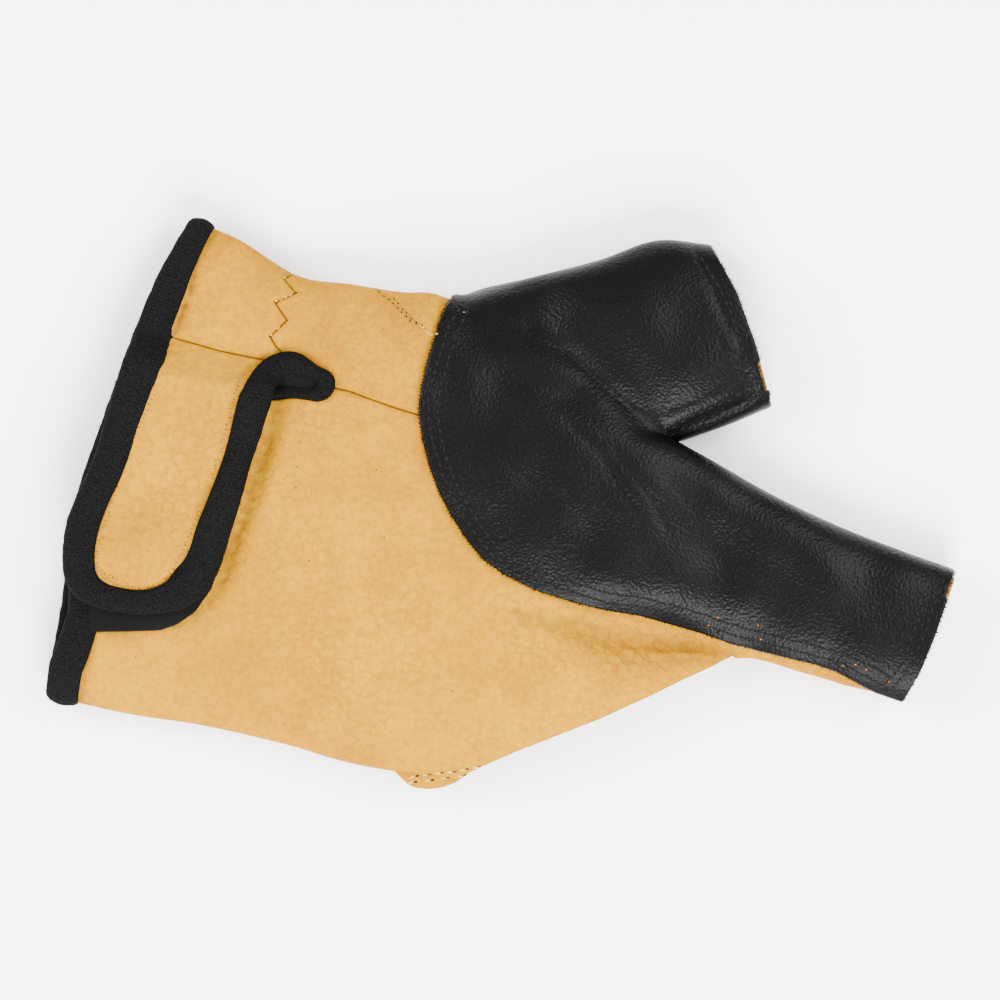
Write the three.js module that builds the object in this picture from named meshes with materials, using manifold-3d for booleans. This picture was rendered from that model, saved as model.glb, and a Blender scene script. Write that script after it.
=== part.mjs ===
// Archery glove for the bow hand, lying flat with the back of the hand upwards.
// Millimetres, +Z up, +X towards the fingertips, +Y towards the thumb.
import * as THREE from 'three';
import { mergeVertices } from 'three/addons/utils/BufferGeometryUtils.js';
import Module from 'manifold-3d';

const wasm = await Module();
wasm.setup();

// Hand: from the wrist end to the knuckle line, across the palm, and its height as it lies
const handLength = 125;
const handWidth = 100;
const handDepth = 18;

// Index finger tube, from the knuckle line to its open end
const indexLength = 58;
const indexWidth = 28;
const indexDepth = 12;
const indexDrop = 8;

// Thumb tube, from its root in the hand to its open end
const thumbLength = 68;
const thumbWidth = 34;
const thumbDepth = 13;
const thumbRootAlong = 78;
const thumbRootAcross = 25;

// Leather, binding and fastener sheets
const leather = 1.2;
const patchLeather = 1.1;
const bindingSheet = 0.9;
const bindingWidth = 5.6;
const padSheet = 0.9;
const slitBindingWidth = 3.6;
const gap = 0.3;

// The strap climbs from the wrist seam over the slit within this length
const strapClimb = 8;

// The palm is the sheet below this height, the other panels wrap round to meet it
const palmSeamHeight = 5.5;

// The pinked seam of the thumb side
const pinkPitch = 5.6;
const pinkReach = 1.2;

// The double-stitched corner beside the finger opening
const cornerTabThickness = 2.6;

// The patch ends short of the leather tube inside it
const patchSetBack = 0.4;

// Facets round a section, and how far the form is carried on past each open end
const ringPoints = 28;
const runOut = 14;

// How far cutting shapes run past the glove, in plan and in height
const far = 200;
const tall = 60;

// How far cuts pass round the corners between the open edges
const cornerClear = 2;
const webClear = 6;

// Heights of the layers above the leather's outer face
const bindingTop = gap + bindingSheet;
const patchTop = gap + patchLeather;
const loopPadTop = gap + padSheet;
const hookPadFoot = loopPadTop + gap;
const hookPadTop = hookPadFoot + padSheet;
const strapFoot = hookPadTop + gap;

// The glove lies on its palm, its binding and its patch, so the leather inside these is lifted
const surfaceClear = 0.1;
const layerLift = bindingTop + gap;
const patchLift = patchTop + surfaceClear;

// Places in plan, as shares of the sizes of the hand, the index tube and the thumb tube
const onHand = (along, across) => new THREE.Vector2(along * handLength, across * handWidth);
const onIndex = (along, across) => new THREE.Vector2(
  handLength + along * indexLength, across * indexWidth - indexDrop);
const onThumb = (along, across) => new THREE.Vector2(
  thumbRootAlong + along * thumbLength, thumbRootAcross + across * thumbWidth);

// The patch lies outside the leather, so a fold that it covers is drawn in by its height
function drawnIn(edge, opposite, covered) {
  return covered ? edge.clone().add(opposite.clone().sub(edge).setLength(patchTop)) : edge;
}

// A section with its two folds placed in plan and its heights in millimetres
function placed(row, place, depth) {
  const thumbSide = place(...row.thumbSide);
  const outerSide = place(...row.outerSide);
  return {
    thumbSide: drawnIn(thumbSide, outerSide, row.thumbSideCovered),
    outerSide: drawnIn(outerSide, thumbSide, row.outerSideCovered),
    depth: row.depth * depth,
    lift: row.lift ?? 0,
    raise: (row.raise ?? 0) * depth,
    valley: row.valley ?? 0,
    at: row.at ?? 0,
  };
}

// Sections of the hand: the fold on each side, the depth and the rise of the thumb-side fold as
// shares of the hand's depth, and the valley beside the index finger: its depth and where it lies
// across, from -1 at the little-finger side to 1 at the thumb side
const firstCoveredSection = 6;
const handSections = [
  { thumbSide: [0.245, 0.56], outerSide: [0.035, -0.4], depth: 0.56, lift: layerLift },
  { thumbSide: [0.313, 0.523], outerSide: [0.137, -0.427], depth: 0.66, lift: layerLift },
  { thumbSide: [0.405, 0.453], outerSide: [0.257, -0.451], depth: 0.8 },
  { thumbSide: [0.49, 0.436], outerSide: [0.385, -0.487], depth: 0.92 },
  { thumbSide: [0.57, 0.42], outerSide: [0.49, -0.525], depth: 0.98, raise: 0.03 },
  { thumbSide: [0.652, 0.411], outerSide: [0.61, -0.55], depth: 1, raise: 0.12, valley: 0.02, at: -0.1 },
  { thumbSide: [0.729, 0.313], outerSide: [0.713, -0.563], depth: 1, raise: 0.2, valley: 0.06, at: -0.17 },
  { thumbSide: [0.825, 0.237], outerSide: [0.825, -0.51], depth: 1, raise: 0.26, valley: 0.16, at: -0.27 },
  { thumbSide: [0.913, 0.187], outerSide: [0.937, -0.453], depth: 0.94, raise: 0.26, valley: 0.27, at: -0.41 },
  { thumbSide: [0.993, 0.131], outerSide: [1.05, -0.39], depth: 0.84, raise: 0.24, valley: 0.38, at: -0.56 },
].map((row, i) => placed({ ...row, thumbSideCovered: i >= firstCoveredSection }, onHand, handDepth));

// Sections of the index tube, the depth as a share of its own
const indexSections = [
  { thumbSide: [0.122, 0.596], outerSide: [0.236, -0.839], depth: 1.06, lift: patchLift, raise: 0.26 },
  { thumbSide: [0.347, 0.33], outerSide: [0.471, -0.939], depth: 1, lift: patchLift, raise: 0.18 },
  { thumbSide: [0.571, 0.115], outerSide: [0.609, -1.018], depth: 1, lift: patchLift, raise: 0.1 },
  { thumbSide: [0.778, -0.045], outerSide: [0.712, -1.082], depth: 0.96, lift: patchLift, raise: 0.04 },
  { thumbSide: [0.974, -0.189], outerSide: [0.795, -1.139], depth: 0.92, lift: patchLift, raise: 0 },
].map((row) => placed({ ...row, thumbSideCovered: true }, onIndex, indexDepth));

// Sections of the thumb tube
const thumbSections = [
  { thumbSide: [-0.015, 0.318], outerSide: [0.015, -0.318], depth: 0.7 },
  { thumbSide: [0.103, 0.494], outerSide: [0.206, -0.376], depth: 0.92 },
  { thumbSide: [0.279, 0.582], outerSide: [0.426, -0.406], depth: 1 },
  { thumbSide: [0.485, 0.688], outerSide: [0.647, -0.376], depth: 1.04 },
  { thumbSide: [0.647, 0.8], outerSide: [0.815, -0.28], depth: 1 },
  { thumbSide: [0.797, 0.775], outerSide: [0.976, -0.15], depth: 0.9 },
].map((row) => placed(
  { ...row, lift: patchLift, thumbSideCovered: true, outerSideCovered: true }, onThumb, thumbDepth));

// Form of a section: how square its curve is, where its fold lies and how wide the valley is
const squareness = 2.5;
const foldHeight = 0.42;
const undersideReach = 1.35;
const valleyWidth = 0.2;

// One section of a tube as a ring of points, moved outwards by the growth at each place
function ring(row, growth) {
  const middle = row.thumbSide.clone().add(row.outerSide).multiplyScalar(0.5);
  const half = row.thumbSide.clone().sub(row.outerSide).multiplyScalar(0.5);
  const halfWidth = half.length();
  const power = 2 / squareness;
  const profile = [];
  for (let i = 0; i < ringPoints; i += 1) {
    const angle = (2 * Math.PI * i) / ringPoints;
    const across = Math.sign(Math.cos(angle)) * Math.abs(Math.cos(angle)) ** power;
    const height = Math.abs(Math.sin(angle)) ** power;
    const underside = row.lift + row.raise * Math.max(across, 0) ** 2;
    const fold = underside + foldHeight * row.depth;
    const valley = row.valley * Math.exp(-(((across - row.at) / valleyWidth) ** 2));
    const top = fold + (1 - foldHeight) * row.depth * height - valley * row.depth * height;
    const bottom = Math.max(underside, fold - foldHeight * undersideReach * row.depth * height);
    profile.push(new THREE.Vector2(across * halfWidth, Math.sin(angle) >= 0 ? top : bottom));
  }
  return profile.map((point, i) => {
    const before = profile[(i + ringPoints - 1) % ringPoints];
    const after = profile[(i + 1) % ringPoints];
    const outward = new THREE.Vector2(after.y - before.y, before.x - after.x).normalize();
    const base = middle.clone().addScaledVector(half, point.x / halfWidth);
    const grow = typeof growth === 'function' ? growth(base) : growth;
    const place = middle.clone().addScaledVector(half, (point.x + outward.x * grow) / halfWidth);
    return new THREE.Vector3(place.x, place.y, Math.max(0, point.y + outward.y * grow));
  });
}

// A section carried on past the end of a tube, along the line of its last two sections
function carriedOn(end, inner) {
  const reach = (edge) => {
    const step = end[edge].clone().sub(inner[edge]).setLength(runOut);
    return end[edge].clone().add(step);
  };
  return { ...end, thumbSide: reach('thumbSide'), outerSide: reach('outerSide') };
}

function solidFrom(positions, triangles) {
  return new wasm.Manifold(new wasm.Mesh({
    numProp: 3,
    vertProperties: new Float32Array(positions),
    triVerts: new Uint32Array(triangles),
  }));
}

// A closed tube through the sections, with flat ends
function tube(rows, growth) {
  const rings = rows.map((row) => ring(row, growth));
  const positions = rings.flat().flatMap((point) => point.toArray());
  const triangles = [];
  const next = (i) => (i + 1) % ringPoints;
  for (let k = 0; k + 1 < rings.length; k += 1) {
    for (let i = 0; i < ringPoints; i += 1) {
      const a = k * ringPoints + i;
      const b = k * ringPoints + next(i);
      triangles.push(a, b, b + ringPoints, a, b + ringPoints, a + ringPoints);
    }
  }
  [0, rings.length - 1].forEach((k) => {
    const centre = positions.length / 3;
    const sum = rings[k].reduce((total, point) => total.add(point), new THREE.Vector3());
    positions.push(...sum.divideScalar(ringPoints).toArray());
    for (let i = 0; i < ringPoints; i += 1) {
      const a = k * ringPoints + i;
      const b = k * ringPoints + next(i);
      triangles.push(...(k === 0 ? [centre, b, a] : [centre, a, b]));
    }
  });
  return solidFrom(positions, triangles);
}

const palmRows = [...handSections, ...indexSections];
const handTube = (growth) => tube([
  carriedOn(palmRows[0], palmRows[1]),
  ...palmRows,
  carriedOn(palmRows.at(-1), palmRows.at(-2)),
], growth);
const thumbTube = (growth) => tube([
  ...thumbSections,
  carriedOn(thumbSections.at(-1), thumbSections.at(-2)),
], growth);

// The whole glove as one form, and a sheet of it between two heights above the leather's outer face
const form = (growth) => handTube(growth).add(thumbTube(growth));
const layer = (low, high) => form(high).subtract(form(low));

// A closed outline in plan, as an upright solid
function prism(outline, low = -tall, high = tall) {
  const extruded = new THREE.ExtrudeGeometry(
    new THREE.Shape(outline), { depth: high - low, bevelEnabled: false });
  extruded.deleteAttribute('normal');
  extruded.deleteAttribute('uv');
  const merged = mergeVertices(extruded.translate(0, 0, low));
  return solidFrom(merged.attributes.position.array, merged.index.array);
}

// A line in plan, moved to the left of its direction of travel
function shifted(line, distance) {
  return line.map((point, i) => {
    const before = line[Math.max(i - 1, 0)];
    const after = line[Math.min(i + 1, line.length - 1)];
    const travel = after.clone().sub(before).normalize();
    return point.clone().add(new THREE.Vector2(-travel.y, travel.x).multiplyScalar(distance));
  });
}
const reversed = (line) => [...line].reverse();

// A closed outline in plan, moved outwards all round
function grown(outline, distance) {
  const side = THREE.ShapeUtils.area(outline) > 0 ? -1 : 1;
  const looped = shifted([outline.at(-1), ...outline, outline[0]], side * distance);
  return looped.slice(1, -1);
}
const beyond = (point, x, y) => point.clone().add(new THREE.Vector2(x, y));

// Wrist edge of the leather, from the thumb side to the little-finger side
const wristEdge = [
  [0.246, 0.565], [0.198, 0.463], [0.152, 0.331], [0.11, 0.18], [0.073, 0.053],
  [0.047, -0.057], [0.033, -0.221], [0.015, -0.38],
].map((place) => onHand(...place));

// Edge of the three-finger opening, from the little-finger side to the index tube
const openingEdge = [
  [0.649, -0.569], [0.678, -0.543], [0.758, -0.499], [0.889, -0.435], [0.97, -0.389], [1.031, -0.351], [1.102, -0.311],
].map((place) => onHand(...place));

// Open ends of the index and thumb tubes
const indexEnd = [
  [0.798, -1.161], [0.867, -0.904], [0.912, -0.675], [0.96, -0.396], [0.998, -0.204],
].map((place) => onIndex(...place));
const thumbEnd = [
  [0.979, -0.141], [0.979, -0.082], [0.941, 0.176], [0.885, 0.488], [0.844, 0.635], [0.803, 0.759],
].map((place) => onThumb(...place));

// Crease where the index finger's side lies over the thumb, as far as the web between them
const crease = [
  [0.734, 0.291], [0.825, 0.267], [0.897, 0.219], [0.996, 0.131],
].map((place) => onHand(...place));

// Seam of the thumb panel with the back panel, from the slit to the crease
const panelSeam = [
  [0.462, 0.227], [0.534, 0.199], [0.604, 0.171], [0.673, 0.203],
].map((place) => onHand(...place));

// Seam of the thumb panel with the thumb tube, under the patch
const stallSeam = [onHand(0.69, 0.6), onHand(0.681, 0.423), crease[0]];

// The strap's root, and both sides of the slit below it
const strapRoot = [[0.089, 0.367], [0.204, 0.329], [0.358, 0.281]].map((place) => onHand(...place));
const slitUpper = [[0.385, 0.281], [0.418, 0.269], [0.454, 0.241]].map((place) => onHand(...place));
const slitLower = [
  [0.449, 0.209], [0.393, 0.207], [0.342, 0.199], [0.289, 0.163], [0.225, 0.113], [0.153, 0.079], [0.025, 0.053],
].map((place) => onHand(...place));

// Pads that hold the strap down: the lower one shows below the strap's end, the upper is under it
const loopPadOutline = [
  [0.084, 0.003], [0.265, 0.003], [0.254, -0.137], [0.214, -0.251], [0.081, -0.261],
].map((place) => onHand(...place));
const hookPadOutline = [
  [0.134, 0.023], [0.257, 0.023], [0.233, -0.087], [0.193, -0.157], [0.124, -0.157], [0.097, -0.097],
].map((place) => onHand(...place));

// Corner tab beside the little-finger end of the opening
const cornerTabOutline = [
  [0.545, -0.52], [0.58, -0.565], [0.602, -0.575], [0.626, -0.575], [0.65, -0.567], [0.665, -0.557],
  [0.679, -0.543], [0.692, -0.529], [0.633, -0.497],
].map((place) => onHand(...place));

// Edge of the leather strap, from its root on the wrist side round its end to the root again
const strapEdge = [
  [0.15, 0.335], [0.103, 0.179], [0.064, 0.053], [0.042, -0.057], [0.037, -0.119], [0.052, -0.173],
  [0.081, -0.209], [0.129, -0.223], [0.177, -0.217], [0.222, -0.187], [0.26, -0.127], [0.297, -0.043],
  [0.335, 0.117], [0.358, 0.213], [0.364, 0.271],
].map((place) => onHand(...place));

// Pinked seam between the wrist panel and the thumb panel
const pinkStart = onHand(0.393, 0.467);
const pinkEnd = onHand(0.366, 0.299);
function pinkedSeam() {
  const travel = pinkEnd.clone().sub(pinkStart);
  const aside = new THREE.Vector2(-travel.y, travel.x).setLength(pinkReach);
  const steps = Math.max(2, Math.round((2 * travel.length()) / pinkPitch));
  return Array.from({ length: steps + 1 }, (_, i) => pinkStart.clone()
    .addScaledVector(travel, i / steps)
    .addScaledVector(aside, i % 2 === 0 ? 1 : -1));
}

// Lower edge of the patch, from the thumb side across the back of the hand and along the index
const patchEdge = [
  ...[
    [0.652, 0.6], [0.652, 0.409], [0.626, 0.357], [0.612, 0.291], [0.599, 0.203], [0.606, 0.121],
    [0.633, 0.015], [0.674, -0.073], [0.737, -0.147], [0.825, -0.193], [0.902, -0.223], [0.956, -0.231],
  ].map((place) => onHand(...place)),
  ...[
    [0.036, -0.625], [0.174, -0.718], [0.319, -0.811], [0.45, -0.868], [0.588, -0.968], [0.702, -1.075],
    [0.84, -1.2],
  ].map((place) => onIndex(...place)),
];

// Seam of the palm sheet on the underside, inboard of the folds
const palmSeam = [
  ...[
    [0.153, 0.479], [0.313, 0.423], [0.409, 0.359], [0.489, 0.337], [0.569, 0.327], [0.649, 0.303],
    [0.713, 0.223], [0.825, 0.153], [0.921, 0.099], [1.001, 0.047],
  ].map((place) => onHand(...place)),
  ...[
    [0.174, 0.246], [0.381, 0.054], [0.588, -0.132], [0.898, -0.382], [1.088, -0.454],
    [0.916, -1.096], [0.726, -0.882], [0.45, -0.704], [0.26, -0.596], [0.347, -1.132],
  ].map((place) => onIndex(...place)),
  ...[
    [0.729, -0.617], [0.625, -0.487], [0.545, -0.467], [0.457, -0.437], [0.329, -0.387], [0.137, -0.333],
    [-0.023, -0.297],
  ].map((place) => onHand(...place)),
];

// The glove's leather inside its open edges, with each open edge set back by a distance
function insideEdges(wristSetBack, openingSetBack, endSetBack) {
  const wrist = shifted(wristEdge, wristSetBack);
  const opening = shifted(openingEdge, openingSetBack);
  const index = shifted(indexEnd, endSetBack);
  const thumb = shifted(thumbEnd, endSetBack);
  return prism([
    beyond(wrist[0], 0, far),
    ...wrist,
    beyond(wrist.at(-1), 0, -far),
    beyond(opening[0], 0, -far),
    ...opening,
    beyond(opening.at(-1), cornerClear, -cornerClear),
    beyond(opening.at(-1), cornerClear, -far),
    beyond(index[0], 0, -far),
    ...index,
    beyond(index.at(-1), webClear, webClear),
    beyond(thumb[0], webClear, -webClear),
    ...thumb,
    beyond(thumb.at(-1), 0, far),
  ]);
}

// Upright regions of the panels, each kept half a gap from its seams
const half = gap / 2;
const pinked = pinkedSeam();
const web = crease.at(-1);
const webLine = [beyond(web, far, -2 * webClear)];

function wristRegion() {
  const seam = shifted(pinked, -half);
  const root = shifted(reversed(strapRoot), -half);
  return prism([
    beyond(seam[0], 0, far), ...seam, ...root, beyond(root.at(-1), -far, 0), beyond(seam[0], -far, far),
  ]);
}

function thumbPanelRegion() {
  const seam = shifted(pinked, half);
  const below = shifted([...slitUpper, ...panelSeam], half);
  const right = shifted(reversed(stallSeam), half);
  return prism([beyond(seam[0], 0, far), ...seam, ...below, ...right, beyond(right.at(-1), 0, far)]);
}

function thumbRegion() {
  const left = shifted(stallSeam, half);
  const below = shifted([...crease, ...webLine], half);
  return prism([beyond(left[0], 0, far), ...left, ...below.slice(1), beyond(below.at(-1), 0, far)]);
}

function backRegion() {
  const above = shifted([...reversed(slitLower), ...panelSeam, ...crease, ...webLine], -half);
  return prism([
    ...above, beyond(above.at(-1), 0, -far), beyond(above[0], -far, -far), beyond(above[0], -far, 0),
  ]);
}

// A band along an open line, a distance to each side of it
const band = (line, left, right) => prism([...shifted(line, left), ...reversed(shifted(line, -right))]);

// Leather shell and panels
const inside = insideEdges(0, 0, 0);
const shell = layer(-leather, 0).intersect(inside);
const palmPrism = prism(palmSeam, -tall, palmSeamHeight);
const palmPrismWide = prism(grown(palmSeam, gap), -tall, palmSeamHeight + gap);
const upper = shell.subtract(palmPrismWide);

const palm = shell.intersect(palmPrism);
const wristPanel = upper.intersect(wristRegion());
const thumbPanel = upper.intersect(thumbPanelRegion());
const thumbStall = upper.intersect(thumbRegion());
const back = upper.intersect(backRegion());

// Patch round the thumb and over the index finger, which leaves the index's underside bare
function patchPiece() {
  const region = prism([
    ...patchEdge, beyond(patchEdge.at(-1), far, 0), beyond(patchEdge[0], far + handLength, 0),
  ]);
  const inner = [onIndex(0.26, -0.5), onIndex(0.45, -0.65), onIndex(1.5, -1)];
  const outerUnderside = prism([
    ...inner, beyond(inner.at(-1), 0, -far), beyond(inner[0], 0, -far),
  ], -tall, patchLift + foldHeight * indexDepth);
  return layer(gap, patchTop)
    .intersect(region)
    .intersect(insideEdges(0, 0, patchSetBack))
    .subtract(palmPrismWide)
    .subtract(outerUnderside);
}

// The strap rises from the wrist panel's own height to lie over the pads on the back panel
const rootTravel = strapRoot.at(-1).clone().sub(strapRoot[1]).normalize();
function climb(point) {
  const offset = point.clone().sub(strapRoot[1]);
  const below = offset.y * rootTravel.x - offset.x * rootTravel.y;
  return THREE.MathUtils.smoothstep(-below, 0, strapClimb);
}
const strapHeight = (above) => (point) => above - leather + climb(point) * (strapFoot + leather);
const strapLayer = (low, high) => handTube(strapHeight(high)).subtract(handTube(strapHeight(low)));
const belowRoot = () => {
  const root = shifted(strapRoot, -half);
  return prism([
    beyond(root[0], -far, 0), ...root, beyond(root.at(-1), far, 0),
    beyond(root.at(-1), far, -far), beyond(root[0], -far, -far),
  ]).intersect(prism([
    beyond(root[0], -far, far), beyond(root[0], far, far), beyond(root[0], far, -far), beyond(root[0], -far, -far),
  ], palmSeamHeight, tall));
};
const strapPrism = prism(strapEdge);
const strap = strapLayer(0, leather).intersect(strapPrism).intersect(belowRoot());

const bindingInboard = bindingWidth - bindingTop;
const strapBinding = strapLayer(-bindingTop, leather + bindingTop)
  .intersect(band(strapEdge, bindingInboard, bindingTop))
  .subtract(strapLayer(-gap, leather + gap).intersect(prism(shifted(strapEdge, -gap))))
  .intersect(belowRoot());

// Binding round the wrist, open on the back of the hand where the strap crosses the slit
function wristBindingPiece() {
  const start = wristEdge[0].clone().sub(wristEdge[1]).setLength(bindingWidth).add(wristEdge[0]);
  const end = wristEdge.at(-1).clone().sub(wristEdge.at(-2)).setLength(bindingWidth).add(wristEdge.at(-1));
  const edge = [start, ...wristEdge, end];
  const underStrap = prism([
    ...shifted(strapRoot, half), ...slitUpper, ...shifted(slitLower, half),
  ], palmSeamHeight, tall);
  return layer(-leather - bindingTop, bindingTop)
    .intersect(band(edge, bindingInboard, bindingTop))
    .subtract(layer(-leather - gap, gap).intersect(insideEdges(-gap, 0, 0)))
    .subtract(underStrap);
}

// Binding round the end of the slit, beside the strap
function slitBindingPiece() {
  const slit = [strapRoot.at(-1), ...slitUpper, panelSeam[0], ...slitLower.slice(0, 4)];
  const leatherRoundSlit = layer(-leather - gap, gap)
    .subtract(prism(grown(slit, -gap), palmSeamHeight, tall));
  return layer(-leather - bindingTop, bindingTop)
    .intersect(prism(grown(slit, slitBindingWidth - bindingTop), palmSeamHeight, tall))
    .subtract(prism(grown(slit, -bindingTop)))
    .subtract(leatherRoundSlit)
    .subtract(prism(shifted(strapEdge, -bindingTop - gap)));
}

const loopPad = layer(gap, loopPadTop)
  .intersect(prism(loopPadOutline, palmSeamHeight, tall))
  .intersect(insideEdges(bindingInboard + gap, 0, 0));
const hookPad = layer(hookPadFoot, hookPadTop).intersect(prism(hookPadOutline, palmSeamHeight, tall));

const foldLevel = foldHeight * handDepth;
const tabHalf = cornerTabThickness / 2;
const cornerTab = prism(cornerTabOutline, foldLevel - tabHalf, foldLevel + tabHalf).subtract(form(gap));

const pieces = {
  corner_tab: cornerTab,
  hook_pad: hookPad,
  loop_pad: loopPad,
  wrist_binding: wristBindingPiece(),
  slit_binding: slitBindingPiece(),
  palm_panel: palm,
  back_panel: back,
  wrist_panel: wristPanel,
  thumb_panel: thumbPanel,
  thumb_stall: thumbStall,
  finger_patch: patchPiece(),
  strap,
  strap_binding: strapBinding,
};

// Finishes
const finish = (color, roughness) => new THREE.MeshStandardMaterial({ color, roughness, metalness: 0 });
const tanLeather = finish(0xe8bd68, 0.5);
const blackLeather = finish(0x242222, 0.45);
const blackKnit = finish(0x1a1c1d, 0.9);
const blackPad = finish(0x161616, 1);
const finishes = {
  finger_patch: blackLeather,
  strap_binding: blackKnit,
  wrist_binding: blackKnit,
  slit_binding: blackKnit,
  hook_pad: blackPad,
  loop_pad: blackPad,
};

function meshOf(name, solid) {
  const { vertProperties, triVerts } = solid.getMesh();
  const geometry = new THREE.BufferGeometry();
  geometry.setAttribute('position', new THREE.BufferAttribute(new Float32Array(vertProperties), 3));
  geometry.setIndex(new THREE.BufferAttribute(new Uint32Array(triVerts), 1));
  geometry.computeVertexNormals();
  const mesh = new THREE.Mesh(geometry, finishes[name] ?? tanLeather);
  mesh.name = name;
  return mesh;
}

const glove = new THREE.Group();
Object.entries(pieces).forEach(([name, solid]) => glove.add(meshOf(name, solid)));

// The origin is under the middle of the glove, on the surface that it lies on
const extent = new THREE.Box3().setFromObject(glove);
const centre = extent.getCenter(new THREE.Vector3());
glove.position.set(-centre.x, -centre.y, -extent.min.z);

export default glove;
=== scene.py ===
import math
import random

import bpy
import numpy as np
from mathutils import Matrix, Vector
from mathutils.bvhtree import BVHTree
from mathutils.kdtree import KDTree


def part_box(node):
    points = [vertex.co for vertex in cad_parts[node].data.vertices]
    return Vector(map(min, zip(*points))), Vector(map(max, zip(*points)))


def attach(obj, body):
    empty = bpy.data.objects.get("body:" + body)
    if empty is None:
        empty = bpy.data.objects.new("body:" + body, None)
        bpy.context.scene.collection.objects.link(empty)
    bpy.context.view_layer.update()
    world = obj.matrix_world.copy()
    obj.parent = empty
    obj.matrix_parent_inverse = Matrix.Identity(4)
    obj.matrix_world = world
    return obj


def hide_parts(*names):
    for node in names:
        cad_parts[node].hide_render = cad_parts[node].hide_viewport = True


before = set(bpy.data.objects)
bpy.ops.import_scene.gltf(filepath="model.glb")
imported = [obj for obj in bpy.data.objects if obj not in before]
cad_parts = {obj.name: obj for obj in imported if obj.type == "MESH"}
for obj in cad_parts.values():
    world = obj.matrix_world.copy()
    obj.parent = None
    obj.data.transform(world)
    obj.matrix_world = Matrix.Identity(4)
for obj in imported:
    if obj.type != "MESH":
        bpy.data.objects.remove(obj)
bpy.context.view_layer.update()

MM = 0.001

# One pixel of the photograph is this much of the glove, and this pixel lies over the origin
PIXEL = 0.2 * MM
PHOTO_ORIGIN = (502.0, 501.5)

# Sheets, as thick as the solids that they stand for
LEATHER = 1.2 * MM
PATCH_FOOT = 0.3 * MM
PATCH_TOP = 1.4 * MM
PALM_SEAM_HEIGHT = 5.5 * MM
UNDER_INDEX = 6.54 * MM

# Strap, and how it climbs from the wrist panel over the pads
STRAP_TOP = 3.9 * MM
STRAP_CLIMB = 8 * MM
STRAP_CROWN = 0.5 * MM
LOOP_PAD_SPAN = (1.2 * MM, 0.1 * MM)
HOOK_PAD_SPAN = (2.5 * MM, 1.4 * MM)

# Form of a section across the glove
SQUARENESS = 2.5
FOLD_HEIGHT = 0.42
UNDERSIDE_REACH = 1.35
VALLEY_WIDTH = 0.2
RING_POINTS = 200
SPAN_STEPS = 14
VOXEL = 0.63 * MM
RUN_OUT = 12 * MM

# Edges of the sheets
SEAM_GAP = 0.045 * MM
SEAM_ROUND = 0.45 * MM
RAW_ROUND = 0.4 * MM
EDGE_LEVELS = (0.12 * MM, 0.35 * MM)

# Sections of the hand and the index finger. Columns: the fold on the thumb side and the fold on the
# little-finger side in pixels; the depth, the lift of the underside and the rise of the thumb-side
# fold in millimetres; how far the thumb-side fold is drawn in under the patch; the valley beside the
# index finger, as a share of the depth, and where it lies across
HAND_SECTIONS = [
    (197.6, 221.5, 66.4, 701.5, 10.1, 1.5, 0, 0, 0, 0),
    (240, 240, 130, 715, 11.9, 1.5, 0, 0, 0, 0),
    (297.6, 275, 205, 727, 14.4, 0, 0, 0, 0, 0),
    (350.8, 283.5, 285, 745, 16.6, 0, 0, 0, 0, 0),
    (400.8, 291.5, 350.8, 764, 17.6, 0, 0.5, 0, 0, 0),
    (452, 296, 425.8, 776.5, 18, 0, 2.2, 0, 0.02, -0.1),
    (500, 345, 490, 783, 18, 0, 3.6, 1.4, 0.06, -0.17),
    (560, 383, 560, 756.5, 18, 0, 4.7, 1.4, 0.16, -0.27),
    (615, 408, 630, 728, 16.9, 0, 4.7, 1.4, 0.27, -0.41),
    (665, 436, 700.8, 696.5, 15.1, 0, 4.3, 1.4, 0.38, -0.56),
    (705, 458, 738, 659, 12.7, 1.5, 3.1, 1.4, 0.12, -0.95),
    (770, 495, 806, 674, 12, 1.5, 2.2, 1.4, 0, -1),
    (835, 525, 846, 686, 12, 1.5, 1.2, 1.4, 0, 0),
    (895, 548, 876, 693, 11.5, 1.5, 0.5, 1.4, 0, 0),
    (952, 568, 900, 701, 11, 1.5, 0, 1.4, 0, 0),
]

# Sections of the thumb, with the same columns
THUMB_SECTIONS = [
    (430, 322, 440, 430, 9.1, 1.5, 0, 1.4, 0, 0),
    (470, 292, 505, 440, 12, 1.5, 0, 1.4, 0, 0),
    (530, 277, 580, 445, 13, 1.5, 0, 1.4, 0, 0),
    (600, 259, 655, 440, 13.5, 1.5, 0, 1.4, 0, 0),
    (655, 240, 712, 423.6, 13, 1.5, 0, 1.4, 0, 0),
    (706, 244, 767, 401.5, 11.7, 1.5, 0, 1.4, 0, 0),
]

# Lines of the glove in plan, in pixels of the photograph
WRIST_EDGE = [(198, 219), (168, 270), (139.5, 336), (113, 411), (90, 475), (74, 530), (65, 612), (54, 691.5)]
WRIST_GAPE = [(66, 545), (76, 585), (76, 615), (66, 645), (52, 680), (30, 680), (30, 545)]
OPENING_EDGE = [(450, 786), (468, 773), (518, 751), (600, 719), (651, 696), (689, 677), (733, 657)]
INDEX_END = [(901, 704), (921, 668), (934, 636), (948, 597), (959, 570)]
THUMB_END = [(768, 400), (768, 390), (755, 346), (736, 293), (722, 268), (708, 247)]
CREASE = [(503, 356), (560, 368), (605, 392), (667, 436)]
WEB_LINE = [(720, 441), (790, 470), (990, 540)]
PANEL_SEAM = [(333, 388), (350, 391.5), (378, 402), (400, 409.5), (422, 416), (465, 400)]
STALL_SEAM = [(476, 200), (470, 290)]
STRAP_ROOT = [(60, 305), (100, 318), (140, 328), (172, 337), (220, 351), (268, 361)]
SLIT_UPPER = [(285, 361), (306, 367), (328, 381)]
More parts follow.
